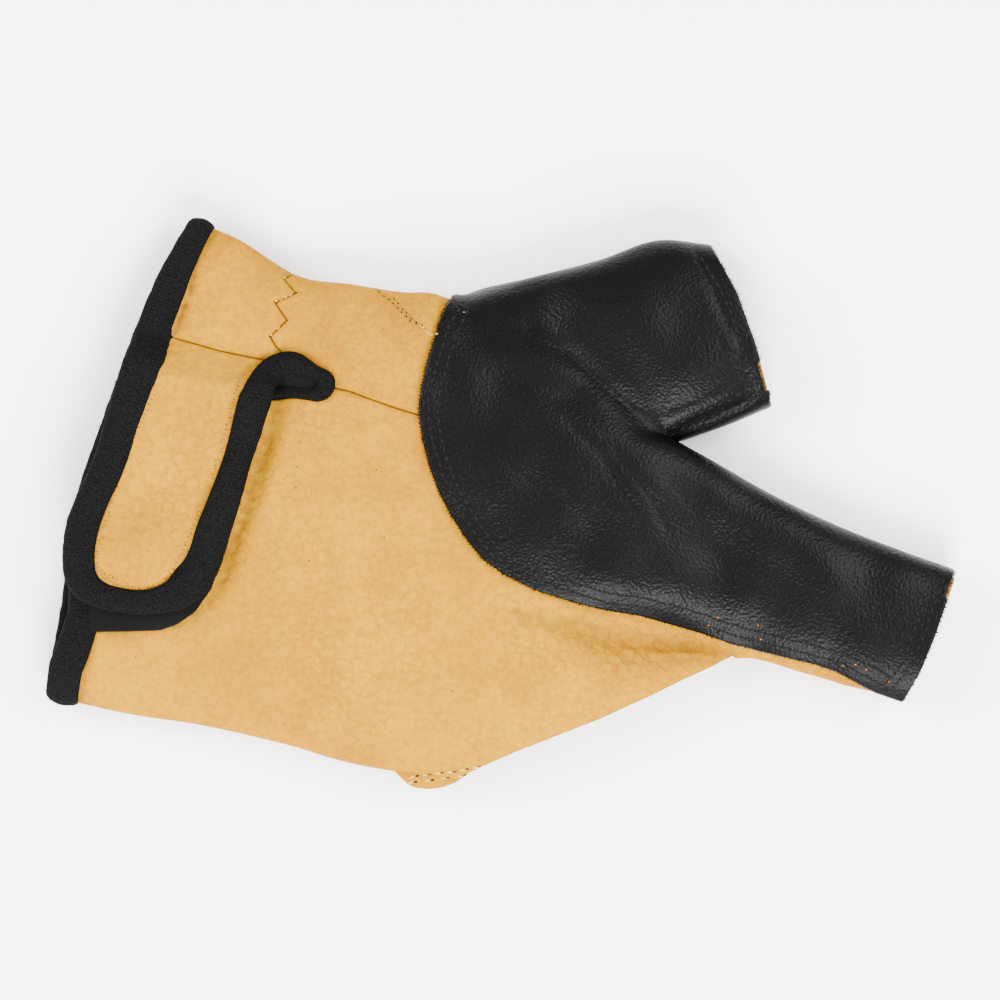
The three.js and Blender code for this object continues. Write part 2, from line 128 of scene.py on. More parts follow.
SLIT_LOWER = [(325, 397), (290, 398), (258, 402), (225, 420), (185, 445), (140, 462), (60, 475)]
PINKED_SEAM = [
    (293, 262), (292, 274), (284, 278), (296.4, 292.8), (275.3, 302.4), (287.8, 320.5), (270.5, 336.8),
    (277, 347.3), (284, 354),
]
PATCH_EDGE = [
    (458, 282), (457, 291), (448, 303), (440, 322), (434, 341), (428, 360), (422, 385), (419.5, 402),
    (420, 420), (423, 441), (430, 468), (440, 494), (452, 517), (466, 538), (484, 560), (505, 575),
    (533, 589), (560, 598), (589, 607), (613, 612), (640, 616.5), (701, 634), (732, 645), (771, 655),
    (815, 665.5), (836, 672.6), (856, 684), (875, 694), (901, 703),
]
PALM_SEAM = [
    (140, 262), (240, 290), (300, 322), (350, 333), (400, 338), (450, 350), (490, 390), (560, 425),
    (620, 452), (670, 478), (720, 507), (780, 534), (840, 560), (930, 595), (985, 605), (935, 695),
    (880, 665), (800, 640), (745, 625), (770, 700), (500, 810), (435, 745), (385, 735), (330, 720),
    (250, 695), (130, 668), (30, 650),
]
INDEX_UNDERSIDE = [(745, 611), (800, 632), (1105, 682), (1105, 1100), (745, 1100)]
STRAP_EDGE = [
    (142, 333), (131, 358), (121, 390), (108, 430), (92, 478), (76, 520), (71, 555), (74, 580), (88, 598),
    (112, 606), (146, 607), (172, 604), (192, 592), (208, 567), (226, 525), (238, 483), (250, 445),
    (262, 400), (268, 380),
]
LOOP_PAD = [
    (94, 480), (210, 480), (224, 530), (221, 562), (213, 588), (196, 612), (178, 624), (161, 629.5),
    (127, 631.5), (90, 632),
]
HOOK_PAD = [(128, 490), (205, 490), (190, 545), (165, 580), (122, 580), (105, 550)]
CORNER_TAB = [
    (385, 762), (407, 784), (421, 789), (436, 789), (451, 785), (460, 780), (469, 773), (477, 766),
    (440, 750),
]

# Waves and folds of the leather: width and height in millimetres, then the line in pixels
FOLDS = [
    (2.2, -1.2, [(538, 334), (575, 360), (608, 390), (650, 426)]),
    (4.0, -0.6, [(512, 318), (560, 350)]),
    (3.4, 0.7, [(458, 345), (520, 360), (580, 382), (622, 406)]),
    (0.9, 0.3, [(386, 293), (404, 310), (427, 330)]),
    (1.0, -0.3, [(376, 296), (394, 314), (414, 333)]),
    (3.0, 0.4, [(505, 300), (514, 335)]),
    (1.3, 0.5, [(655, 425), (690, 409), (742, 383)]),
    (1.1, -0.5, [(668, 433), (705, 418), (755, 394)]),
    (1.1, -0.35, [(690, 246), (712, 290), (732, 340), (748, 392)]),
    (1.2, 0.4, [(724, 322), (737, 366)]),
    (5.0, -0.4, [(560, 290), (620, 330)]),
    (8.0, 0.3, [(640, 300), (700, 350)]),
    (2.0, -0.8, [(505, 606), (545, 620), (600, 632), (650, 640)]),
    (1.6, -1.2, [(600, 633), (650, 641), (700, 647), (735, 655)]),
    (0.7, 0.35, [(650, 652), (690, 652), (722, 657)]),
    (0.8, -0.3, [(600, 638), (640, 662)]),
    (0.8, -0.28, [(630, 642), (664, 668)]),
    (0.8, -0.25, [(570, 628), (606, 656)]),
    (0.9, -0.2, [(540, 618), (576, 640)]),
    (0.8, -0.3, [(655, 644), (690, 664)]),
    (1.4, -0.45, [(330, 292), (378, 300)]),
    (1.7, -0.7, [(239, 541), (254, 500), (267, 453), (282, 403)]),
    (0.6, -0.25, [(212, 598), (226, 612)]),
    (0.6, -0.25, [(202, 610), (214, 622)]),
    (4.0, 0.25, [(110, 650), (200, 700)]),
    (1.2, -0.18, [(130, 692), (220, 650)]),
    (1.2, -0.18, [(180, 706), (260, 676)]),
    (1.6, -0.2, [(240, 716), (330, 690)]),
    (1.4, -0.18, [(290, 736), (390, 716)]),
    (1.6, 0.2, [(400, 745), (520, 728)]),
    (5.0, -0.5, [(470, 295), (520, 300)]),
    (1.1, -0.22, [(556, 414), (596, 450), (640, 520)]),
    (1.3, -0.2, [(500, 460), (560, 500), (600, 560)]),
    (1.0, -0.2, [(604, 440), (650, 500), (668, 540)]),
    (1.4, 0.2, [(640, 470), (700, 530)]),
    (6.0, 0.3, [(740, 540), (880, 600)]),
]

# Short pleats of the back beside the strap, in pixels, with their width and rise in millimetres
PLEATS = [
    [(263, 448), (273, 428)], [(258, 463), (269, 443)], [(251, 480), (264, 459)], [(245, 497), (258, 476)],
    [(242, 511), (255, 491)], [(239, 526), (251, 505)], [(233, 541), (247, 520)], [(230, 556), (242, 538)],
    [(226, 572), (237, 558)], [(221, 584), (230, 573)],
]
PLEAT_WIDTH = 0.5
PLEAT_RISE = -0.3
FOLDS += [(PLEAT_WIDTH, PLEAT_RISE, line) for line in PLEATS]

# A fold dies away over this many widths from its ends, by this share
FOLD_FADE = 2.2
FOLD_END_LOSS = 0.8

# Folds and waves come up to their full height as the leather turns from its side to its top
RELIEF_FACING = (0.15, 0.7)

# Long soft waves, as a seeded sum of ripples
WAVE_SEED = 7
WAVES = 14
WAVE_LENGTHS = (12 * MM, 34 * MM)
WAVE_HEIGHT = 0.09 * MM

# The thumb and the index finger run into the hand without an edge. Columns: place in pixels, reach of
# the softening in millimetres. It acts on the upper side alone, fully from the second height up
SOFT_JOINS = [
    (462, 305, 6), (490, 325, 7), (525, 350, 8), (560, 372, 7), (600, 394, 6), (630, 412, 4), (648, 424, 2.5),
    (700, 600, 4), (720, 618, 4), (740, 628, 4),
]
SOFT_ROUNDS = 140
SOFT_PULL = 0.6
SOFT_HEIGHTS = (6 * MM, 9 * MM)

# Pulls in and out by turns, which even out the steps of the remesh and keep the form's size
STEP_PULLS = (0.55, -0.57) * 6

# Well outside the glove, in pixels
FAR = 400


def spots(pairs):
    """Places on the surface in metres, from pixels of the photograph."""
    pairs = np.asarray(pairs, float)
    return np.column_stack(((pairs[:, 0] - PHOTO_ORIGIN[0]) * PIXEL, (PHOTO_ORIGIN[1] - pairs[:, 1]) * PIXEL))


def beyond(point, x, y):
    return (point[0] + x, point[1] + y)


def outline_of(*lines):
    """A closed outline in metres from lines of pixels."""
    return spots([point for line in lines for point in line])


def smoothed(rows, steps):
    """A smooth curve through the rows, column by column."""
    rows = np.asarray(rows, float)
    ends = np.vstack((2 * rows[0] - rows[1], rows, 2 * rows[-1] - rows[-2]))
    t = np.linspace(0, 1, steps, endpoint=False)[:, None]
    spans = [
        0.5 * (2 * b + (c - a) * t + (2 * a - 5 * b + 4 * c - d) * t**2 + (3 * b - a - 3 * c + d) * t**3)
        for a, b, c, d in zip(ends, ends[1:], ends[2:], ends[3:])
    ]
    return np.vstack(spans + [rows[-1:]])


def smooth_step(value, low, high):
    share = np.clip((value - low) / (high - low), 0, 1)
    return share * share * (3 - 2 * share)


def unit(vectors):
    return vectors / np.maximum(np.linalg.norm(vectors, axis=1), 1e-12)[:, None]


def segment_distance(points, start, end):
    travel = end - start
    share = np.clip((points[:, :2] - start) @ travel / (travel @ travel), 0, 1)
    return np.linalg.norm(points[:, :2] - start - share[:, None] * travel, axis=1)


def line_distance(points, line):
    """Distance in plan from a line of pixels."""
    line = spots(line)
    return np.min([segment_distance(points, a, b) for a, b in zip(line, line[1:])], axis=0)


def inside(points, outline):
    """Distance in plan from a closed outline, positive inside it."""
    x, y = points[:, 0], points[:, 1]
    near = np.full(len(points), 1e9)
    within = np.zeros(len(points), bool)
    for start, end in zip(outline, np.roll(outline, -1, axis=0)):
        near = np.minimum(near, segment_distance(points, start, end))
        crosses = (start[1] > y) != (end[1] > y)
        reach = (end[0] - start[0]) * (y - start[1]) / (end[1] - start[1] + 1e-15) + start[0]
        within ^= crosses & (x < reach)
    return np.where(within, near, -near)


# Skin of the glove: rows of place and normal, with triangles

def carried_on(rows, end, inner):
    """A section past the end of a tube, on the line of its last two sections."""
    row = np.array(rows[end], float)
    for fold in (slice(0, 2), slice(2, 4)):
        step = row[fold] - np.asarray(rows[inner], float)[fold]
        row[fold] += step / np.linalg.norm(step) * RUN_OUT / PIXEL
    return row


def tube(rows):
    """Points and faces of a closed tube through the sections."""
    angle = np.linspace(0, 2 * np.pi, RING_POINTS, endpoint=False)
    power = 2 / SQUARENESS
    across = np.sign(np.cos(angle)) * np.abs(np.cos(angle)) ** power
    height = np.abs(np.sin(angle)) ** power
    thumb, outer = spots(rows[:, 0:2]), spots(rows[:, 2:4])
    middle, half = (thumb + outer) / 2, (thumb - outer) / 2
    width = np.linalg.norm(half, axis=1)
    depth, lift, rise, drawn = (rows[:, 4:8].T * MM)[..., None]
    valley, place = rows[:, 8:10].T[..., None]
    underside = lift + rise * np.maximum(across, 0) ** 2
    fold = underside + FOLD_HEIGHT * depth
    dip = valley * np.exp(-(((across - place) / VALLEY_WIDTH) ** 2))
    top = fold + depth * height * (1 - FOLD_HEIGHT - dip)
    bottom = np.maximum(underside, fold - FOLD_HEIGHT * UNDERSIDE_REACH * depth * height)
    z = np.where(np.sin(angle) >= 0, top, bottom)
    covered = across - np.maximum(across, 0) * drawn / width[:, None]
    plan = middle[:, None, :] + half[:, None, :] * covered[..., None]
    points = np.concatenate((plan, z[..., None]), axis=2).reshape(-1, 3)
    ring = np.arange(RING_POINTS)
    following = (ring + 1) % RING_POINTS
    base = np.arange(len(rows) - 1)[:, None] * RING_POINTS
    here, beside = base + ring, base + following
    quads = np.stack((here, beside, beside + RING_POINTS, here + RING_POINTS), axis=2)
    last = (len(rows) - 1) * RING_POINTS
    return points, quads.reshape(-1, 4).tolist() + [ring[::-1].tolist(), (ring + last).tolist()]


def relief(points, normals):
    """How far the leather's waves and folds stand off the plain form."""
    chance = random.Random(WAVE_SEED)
    height = np.zeros(len(points))
    for _ in range(WAVES):
        heading = chance.uniform(0, 2 * math.pi)
        length = chance.uniform(*WAVE_LENGTHS)
        phase = chance.uniform(0, 2 * math.pi)
        along = points[:, 0] * math.cos(heading) + points[:, 1] * math.sin(heading)
        height += WAVE_HEIGHT * np.sin(2 * math.pi * along / length + phase)
    for width, rise, line in FOLDS:
        fold = rise * MM * np.exp(-((line_distance(points, line) / (width * MM)) ** 2))
        for end in spots([line[0], line[-1]]):
            away = np.linalg.norm(points[:, :2] - end, axis=1) / (FOLD_FADE * width * MM)
            fold *= 1 - FOLD_END_LOSS * np.exp(-(away**2))
        height += fold
    return height * smooth_step(normals[:, 2], *RELIEF_FACING)


def point_normals(points, faces):
    """Outward normals of the points, each the mean of its faces' by their areas."""
    corners = points[faces]
    facing = np.cross(corners[:, 1] - corners[:, 0], corners[:, 2] - corners[:, 0])
    total = np.zeros_like(points)
    for corner in range(3):
        for axis in range(3):
            total[:, axis] += np.bincount(faces[:, corner], facing[:, axis], len(points))
    return unit(total)


def evened(points, faces, pulls, weight):
    """The points drawn towards the mean of their neighbours, once for each pull."""
    pairs = np.vstack((faces[:, [0, 1]], faces[:, [1, 2]], faces[:, [2, 0]]))
    count = np.bincount(pairs[:, 0], minlength=len(points))[:, None]
    for pull in pulls:
        mean = np.column_stack(
            [np.bincount(pairs[:, 0], points[pairs[:, 1], axis], len(points)) for axis in range(3)])
        points = points + pull * weight * (mean / count - points)
    return points


def make_skin():
    """The glove's outer leather face as one closed surface."""
    hand = [carried_on(HAND_SECTIONS, 0, 1), *HAND_SECTIONS, carried_on(HAND_SECTIONS, -1, -2)]
    thumb = [*THUMB_SECTIONS, carried_on(THUMB_SECTIONS, -1, -2)]
    hand_points, hand_faces = tube(smoothed(hand, SPAN_STEPS))
    thumb_points, thumb_faces = tube(smoothed(thumb, SPAN_STEPS))
    shift = len(hand_points)
    mesh = bpy.data.meshes.new("skin")
    mesh.from_pydata(
        np.vstack((hand_points, thumb_points)).tolist(), [],
        hand_faces + [[i + shift for i in face] for face in thumb_faces])
    form = bpy.data.objects.new("skin", mesh)
    bpy.context.scene.collection.objects.link(form)
    bpy.ops.object.select_all(action="DESELECT")
    form.select_set(True)
    bpy.context.view_layer.objects.active = form
    mesh.remesh_voxel_size = VOXEL
    bpy.ops.object.voxel_remesh()
    mesh = form.data
    points = np.zeros(len(mesh.vertices) * 3)
    mesh.vertices.foreach_get("co", points)
    points = points.reshape(-1, 3)
    corners = np.zeros(len(mesh.loops), int)
    mesh.loops.foreach_get("vertex_index", corners)
    quads = corners.reshape(-1, 4)
    faces = np.vstack((quads[:, [0, 1, 2]], quads[:, [0, 2, 3]]))
    bpy.data.objects.remove(form)
    points = evened(points, faces, STEP_PULLS, 1)
    soft = np.zeros(len(points))
    for x, y, reach in SOFT_JOINS:
        near = np.linalg.norm(points[:, :2] - spots([(x, y)])[0], axis=1) / (reach * MM)
        soft = np.maximum(soft, np.exp(-(near**2)))
    soft *= smooth_step(points[:, 2], *SOFT_HEIGHTS)
    points = evened(points, faces, [SOFT_PULL] * SOFT_ROUNDS, soft[:, None])
    normals = point_normals(points, faces)
    points = points + normals * relief(points, normals)[:, None]
    points[:, 2] = np.maximum(points[:, 2], 0)
    return np.hstack((points, point_normals(points, faces))), faces


def cut(skin, field, both=False):
    """A skin cut cleanly along a field's zero line: its positive part, or both parts still joined."""
    rows, faces = skin
    field = np.where(np.abs(field) < 1e-8, 1e-8, field)
    keep = field > 0
    count = keep[faces].sum(axis=1)
    ones, twos = faces[count == 1], faces[count == 2]

    def turned(chosen, odd):
        first = np.argmax(keep[chosen] == odd, axis=1)
        return chosen[np.arange(len(chosen))[:, None], (first[:, None] + [0, 1, 2]) % 3]

    mixed = np.vstack((turned(ones, True), turned(twos, False)))
    edges = np.sort(np.vstack((mixed[:, [0, 1]], mixed[:, [0, 2]])), axis=1)
    unique, index = np.unique(edges, axis=0, return_inverse=True)
    first, second = (index.reshape(-1) + len(rows)).reshape(2, -1)
    share = (field[unique[:, 0]] / (field[unique[:, 0]] - field[unique[:, 1]]))[:, None]
    rows = np.vstack((rows, rows[unique[:, 0]] * (1 - share) + rows[unique[:, 1]] * share))
    rows[:, 3:6] = unit(rows[:, 3:6])
    tips = np.column_stack((mixed[:, 0], first, second))
    rests = np.vstack((
        np.column_stack((mixed[:, 1], mixed[:, 2], second)), np.column_stack((mixed[:, 1], second, first))))
    of_one = np.arange(len(mixed)) < len(ones)
    if both:
        parts = (faces[(count == 0) | (count == 3)], tips, rests)
    else:
        parts = (faces[count == 3], tips[of_one], rests[~np.tile(of_one, 2)])
    used, faces = np.unique(np.vstack(parts), return_inverse=True)
    return rows[used], faces.reshape(-1, 3)


def border(faces):
    """Edges with a face on one side only, in the direction of that face."""
    edges = np.vstack((faces[:, [0, 1]], faces[:, [1, 2]], faces[:, [2, 0]]))
    size = faces.max() + 1
    forward = edges[:, 0] * size + edges[:, 1]
    backward = edges[:, 1] * size + edges[:, 0]
    return edges[~np.isin(forward, backward)]


def loops_of(edges):
    """Border edges joined into closed lines of points."""
    following = dict(edges.tolist())
    loops = []
    while following:
        start, step = following.popitem()
        line = [start]
        while step in following:
            line.append(step)
            step = following.pop(step)
        loops.append(line)
    return loops


def with_edge_distance(skin):
    """The skin with each point's distance from its border as a column, and lines close along the border."""
    rows, faces = skin
    ends = rows[border(faces), :3]
    marks = np.vstack((ends[:, 0], ends.mean(axis=1)))
    tree = KDTree(len(marks))
    for i, mark in enumerate(marks):
        tree.insert(mark, i)
    tree.balance()
    near = np.array([tree.find(place)[2] for place in rows[:, :3]])
    skin = np.column_stack((rows, near)), faces
    for level in EDGE_LEVELS:
        skin = cut(skin, skin[0][:, 6] - level, both=True)
    return skin


# Meshes of pieces

def mesh_piece(name, points, faces, materials, groups=None, uvs=None, shade=None):
    """A smooth-shaded piece that rides on the glove, with the given materials."""
    mesh = bpy.data.meshes.new(name)
    faces = np.asarray(faces)
    sides = faces.shape[1]
    mesh.vertices.add(len(points))
    mesh.vertices.foreach_set("co", np.asarray(points, np.float32).ravel())
    mesh.loops.add(faces.size)
    mesh.loops.foreach_set("vertex_index", faces.astype(np.int32).ravel())
    mesh.polygons.add(len(faces))
    mesh.polygons.foreach_set("loop_start", np.arange(len(faces), dtype=np.int32) * sides)
    mesh.polygons.foreach_set("use_smooth", np.ones(len(faces), bool))
    if groups is not None:
        mesh.polygons.foreach_set("material_index", np.asarray(groups, np.int32))
    if uvs is not None:
        layer = mesh.uv_layers.new(name="UVMap")
        layer.uv.foreach_set("vector", np.asarray(uvs, np.float32).ravel())
    if shade is not None:
        layer = mesh.attributes.new("shade", "FLOAT", "POINT")
        layer.data.foreach_set("value", np.asarray(shade, np.float32))
    mesh.update(calc_edges=True)
    for material in materials:
        mesh.materials.append(material)
    piece = bpy.data.objects.new(name, mesh)
    bpy.context.scene.collection.objects.link(piece)
    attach(piece, "root")
    return piece


def sheet(name, node, skin, top, foot, materials, shade=None):
    """A closed sheet between two heights over a skin, in place of a node if one is named. It gives
    back its outer face for what lies on it."""
    rows, faces = skin
    outer = rows[:, :3] + rows[:, 3:6] * top[:, None]
    inner = rows[:, :3] + rows[:, 3:6] * foot[:, None]
    a, b = border(faces).T
    size = len(rows)
    rim = np.vstack((np.column_stack((b, a, a + size)), np.column_stack((b, a + size, b + size))))
    every = np.vstack((faces, faces[:, ::-1] + size, rim))
    groups = np.full(len(every), len(materials) - 1)
    groups[:len(faces)] = 0
    points = np.vstack((outer, inner))
    points[:, 2] = np.maximum(points[:, 2], 0)
    if shade is not None:
        shade = np.tile(shade, 2)
    piece = mesh_piece(name, points, every, materials, groups, shade=shade)
    if node:
        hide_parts(node)
    return BVHTree.FromPolygons(points[:size].tolist(), faces.tolist())


def round_off(near, radius):
    """How far a sheet's face falls near its edge."""
    share = np.clip(near / radius, 0, 1)
    return -radius * (1 - np.sqrt(np.maximum(0, 1 - (1 - share) ** 2)))


# Well above the glove, in metres
DROP_HEIGHT = 0.1
DOWN = Vector((0, 0, -1))


def dropped(surfaces_under, plan):
    """Places in plan dropped from above onto the highest surface, with the surface's normals. A place
    with nothing under it is left out, and the last array tells which were kept."""
    places, normals, kept = [], [], []
    for x, y in plan:
        above = Vector((x, y, DROP_HEIGHT))
        hits = [surface.ray_cast(above, DOWN)[:2] for surface in surfaces_under]
        hits = [hit for hit in hits if hit[0] is not None]
        kept.append(bool(hits))
        if hits:
            place, normal = max(hits, key=lambda hit: hit[0].z)
            places.append(tuple(place))
            normals.append(tuple(normal))
    return np.array(places), np.array(normals), np.array(kept)


# Materials

# Colours of the yellow leather: at its lightest and its deepest, what its speckles take away, what painted
# shade takes away in its creases, and the brown of painted shade, in creases partly the leather's darker dye
TAN = (0.36, 0.17, 0.0)
TAN_DEEP = (0.29, 0.125, 0.0)
TAN_SPECKLE = (0.8, 0.74, 1.0)
CREASE_SHADE = (0.88, 0.82, 0.8)
SHADE_AND_DYE_BROWN = (0.055, 0.023, 0.004)

# How far the net of creases strays from a regular one, as a share
WANDER = 0.0015


def new_material(name, color, roughness):
    material = bpy.data.materials.new(name)
    material.use_nodes = True
    shader = material.node_tree.nodes["Principled BSDF"]
    shader.inputs["Base Color"].default_value = (*color, 1)
    shader.inputs["Roughness"].default_value = roughness
    return material, material.node_tree, shader


def add_node(tree, kind, **settings):
    node = tree.nodes.new(kind)
    for key, value in settings.items():
        if key in node.inputs:
            node.inputs[key].default_value = value
        else:
            setattr(node, key, value)
    return node


def texture(tree, kind, place, **settings):
    """A texture node that reads the given place."""
    node = add_node(tree, kind, **settings)
    tree.links.new(place, node.inputs["Vector"])
    return node


def spread_range(tree, value, **limits):
    """A value brought from one range to another, and held within it."""
    node = add_node(tree, "ShaderNodeMapRange", clamp=True)
    for name, limit in limits.items():
        node.inputs[name.replace("_", " ").title()].default_value = limit
    tree.links.new(value, node.inputs["Value"])
    return node.outputs["Result"]


def color_ramp(tree, low, high, low_color, high_color):
    ramp = add_node(tree, "ShaderNodeValToRGB")
    ramp.color_ramp.elements[0].position = low
    ramp.color_ramp.elements[0].color = (*low_color, 1)
    ramp.color_ramp.elements[1].position = high
    ramp.color_ramp.elements[1].color = (*high_color, 1)
    return ramp


def bumps(tree, shader, layers):
    """Bump layers one on another. Each is a texture's output, its strength and its height in metres."""
    normal = None
    for output, strength, distance in layers:
        bump = add_node(tree, "ShaderNodeBump", Strength=strength, Distance=distance)
        tree.links.new(output, bump.inputs["Height"])
        if normal is not None:
            tree.links.new(normal, bump.inputs["Normal"])
        normal = bump.outputs["Normal"]
    tree.links.new(normal, shader.inputs["Normal"])


def tan_leather():
    """Yellow grain leather: cloudy colour, a net of fine creases with painted shade in them, pores, and brown
    painted shade, partly dye, where it is shaded.
    """
    material, tree, shader = new_material("tan_grain_leather", TAN, 0.5)
    shader.inputs["Specular IOR Level"].default_value = 0.01
    place = add_node(tree, "ShaderNodeTexCoord").outputs["Object"]
    cloud = texture(tree, "ShaderNodeTexNoise", place, Scale=55.0, Detail=7.0, Roughness=0.65)
    wander = texture(tree, "ShaderNodeTexNoise", place, Scale=260.0, Detail=3.0)
    # Patches where the net of creases shows; its creases are darkened with painted shade
    crease_patches = texture(tree, "ShaderNodeTexNoise", place, Scale=42.0, Detail=4.0, Roughness=0.6)
    pores = texture(tree, "ShaderNodeTexNoise", place, Scale=2600.0, Detail=4.0)
    speckle = texture(tree, "ShaderNodeTexNoise", place, Scale=850.0, Detail=5.0, Roughness=0.7)

    mixed = add_node(tree, "ShaderNodeMix", data_type="VECTOR")
    mixed.inputs["Factor"].default_value = WANDER
    tree.links.new(place, mixed.inputs[4])
    tree.links.new(wander.outputs["Color"], mixed.inputs[5])
    wandering = mixed.outputs[1]
    net = texture(tree, "ShaderNodeTexVoronoi", wandering, Scale=420.0, feature="DISTANCE_TO_EDGE")
    fine = texture(tree, "ShaderNodeTexVoronoi", wandering, Scale=1300.0, feature="DISTANCE_TO_EDGE")

    creases = add_node(tree, "ShaderNodeMix", data_type="FLOAT")
    creases.inputs[2].default_value = 1.0
    tree.links.new(
        spread_range(tree, crease_patches.outputs["Fac"], from_min=0.4, from_max=0.62), creases.inputs["Factor"])
    tree.links.new(spread_range(tree, net.outputs["Distance"], from_max=0.16), creases.inputs[3])

    base = color_ramp(tree, 0.34, 0.66, TAN_DEEP, TAN)
    tree.links.new(cloud.outputs["Fac"], base.inputs["Fac"])
    color = base.outputs["Color"]
    for amount, low, high, darkest in (
            (creases.outputs[0], 0.0, 1.0, CREASE_SHADE), (speckle.outputs["Fac"], 0.36, 0.6, TAN_SPECKLE)):
        ramp = color_ramp(tree, low, high, darkest, (1, 1, 1))
        darkened = add_node(tree, "ShaderNodeMix", data_type="RGBA", blend_type="MULTIPLY")
        darkened.inputs["Factor"].default_value = 1.0
        tree.links.new(amount, ramp.inputs["Fac"])
        tree.links.new(color, darkened.inputs[6])
        tree.links.new(ramp.outputs["Color"], darkened.inputs[7])
        color = darkened.outputs[2]
    # Brown painted shade, in creases partly the leather's darker dye, from each point's shade attribute
    shade = add_node(tree, "ShaderNodeAttribute", attribute_name="shade")
    shade_mix = add_node(tree, "ShaderNodeMix", data_type="RGBA")
    tree.links.new(shade.outputs["Fac"], shade_mix.inputs["Factor"])
    tree.links.new(color, shade_mix.inputs[6])
    shade_mix.inputs[7].default_value = (*SHADE_AND_DYE_BROWN, 1)
    tree.links.new(shade_mix.outputs[2], shader.inputs["Base Color"])
    bumps(tree, shader, [
        (creases.outputs[0], 0.6, 0.12 * MM), (fine.outputs["Distance"], 0.5, 0.08 * MM),
        (pores.outputs["Fac"], 0.7, 0.15 * MM), (cloud.outputs["Fac"], 0.6, 0.9 * MM)])
    return material


def black_leather():
    """Black grain leather: fine pebbles and a soft sheen."""
    material, tree, shader = new_material("black_grain_leather", (0.0018, 0.0017, 0.0017), 0.42)
    shader.inputs["Specular IOR Level"].default_value = 0.055
    place = add_node(tree, "ShaderNodeTexCoord").outputs["Object"]
    pebbles = texture(tree, "ShaderNodeTexVoronoi", place, Scale=1900.0, feature="SMOOTH_F1")
    fine = texture(tree, "ShaderNodeTexNoise", place, Scale=2800.0, Detail=4.0)
    broad = texture(tree, "ShaderNodeTexNoise", place, Scale=120.0, Detail=1.0, Roughness=0.5)
    bumps(tree, shader, [
        (pebbles.outputs["Distance"], 0.85, 0.14 * MM), (fine.outputs["Fac"], 0.3, 0.04 * MM),
        (broad.outputs["Fac"], 0.2, 0.3 * MM)])
    sheen = spread_range(tree, broad.outputs["Fac"], to_min=0.3, to_max=0.44)
    tree.links.new(sheen, shader.inputs["Roughness"])
    return material


def black_knit():
    """Black knitted tape: small crossing loops in its own UV map under short fuzz."""
    material, tree, shader = new_material("black_knit_tape", (0.002, 0.002, 0.002), 0.95)
    shader.inputs["Specular IOR Level"].default_value = 0.05
    uv = add_node(tree, "ShaderNodeUVMap", uv_map="UVMap").outputs["UV"]
    place = add_node(tree, "ShaderNodeTexCoord").outputs["Object"]
    cords = []
    for turn in (0.1, -0.9):
        mapping = add_node(tree, "ShaderNodeMapping")
        mapping.inputs["Rotation"].default_value = (0, 0, turn)
        tree.links.new(uv, mapping.inputs["Vector"])
        wave = texture(
            tree, "ShaderNodeTexWave", mapping.outputs["Vector"], Scale=460.0, Distortion=0.6, Detail=1.0)
        cords.append((wave.outputs["Fac"], 0.6, 0.16 * MM))
    fuzz = texture(tree, "ShaderNodeTexNoise", place, Scale=2600.0, Detail=5.0, Roughness=0.7)
    ramp = color_ramp(tree, 0.38, 0.72, (0.0008, 0.0008, 0.0008), (0.006, 0.006, 0.006))
    tree.links.new(fuzz.outputs["Fac"], ramp.inputs["Fac"])
    tree.links.new(ramp.outputs["Color"], shader.inputs["Base Color"])
    bumps(tree, shader, [*cords, (fuzz.outputs["Fac"], 0.6, 0.12 * MM)])
    return material


def plain_finish(name, color, roughness, scale, bump):
    """One colour over fine grit, of a scale and a height."""
    material, tree, shader = new_material(name, color, roughness)
    shader.inputs["Specular IOR Level"].default_value = 0.15
    place = add_node(tree, "ShaderNodeTexCoord").outputs["Object"]
    noise = texture(tree, "ShaderNodeTexNoise", place, Scale=scale, Detail=5.0, Roughness=0.65)
    bumps(tree, shader, [(noise.outputs["Fac"], 0.8, bump)])
    return material


grain = tan_leather()
suede = plain_finish("tan_suede", (0.34, 0.14, 0.004), 0.95, 2200.0, 0.15 * MM)
black = black_leather()
black_back = plain_finish("black_suede", (0.0025, 0.0024, 0.0022), 0.95, 2200.0, 0.15 * MM)
knit = black_knit()
pile = plain_finish("black_pile", (0.0008, 0.0008, 0.0008), 1.0, 2400.0, 0.5 * MM)
black_thread = plain_finish("black_thread", (0.0012, 0.0012, 0.0012), 0.8, 4000.0, 0.03 * MM)
tan_thread = plain_finish("tan_thread", (0.42, 0.26, 0.06), 0.8, 4000.0, 0.03 * MM)
ochre_thread = plain_finish("ochre_thread", (0.22, 0.085, 0.004), 0.8, 4000.0, 0.03 * MM)
orange_thread = plain_finish("orange_thread", (0.35, 0.09, 0.0), 0.8, 4000.0, 0.03 * MM)
# Dark beads of painted shade for needle holes, pores and puckers
hollow_shade_brown = plain_finish("hollow_shade_brown", (0.03, 0.011, 0.001), 1.0, 4000.0, 0.01 * MM)
hollow_shade_black = plain_finish("hollow_shade_black", (0.0005, 0.0005, 0.0005), 1.0, 4000.0, 0.01 * MM)

# Panels

# How far the cut runs on past the opening's corner and past the ends of the tubes, in pixels, and the
# height above which the wrist gapes
OPENING_STEP = 10
TUBE_STEP = 30
GAPE_HEIGHT = 5.7 * MM

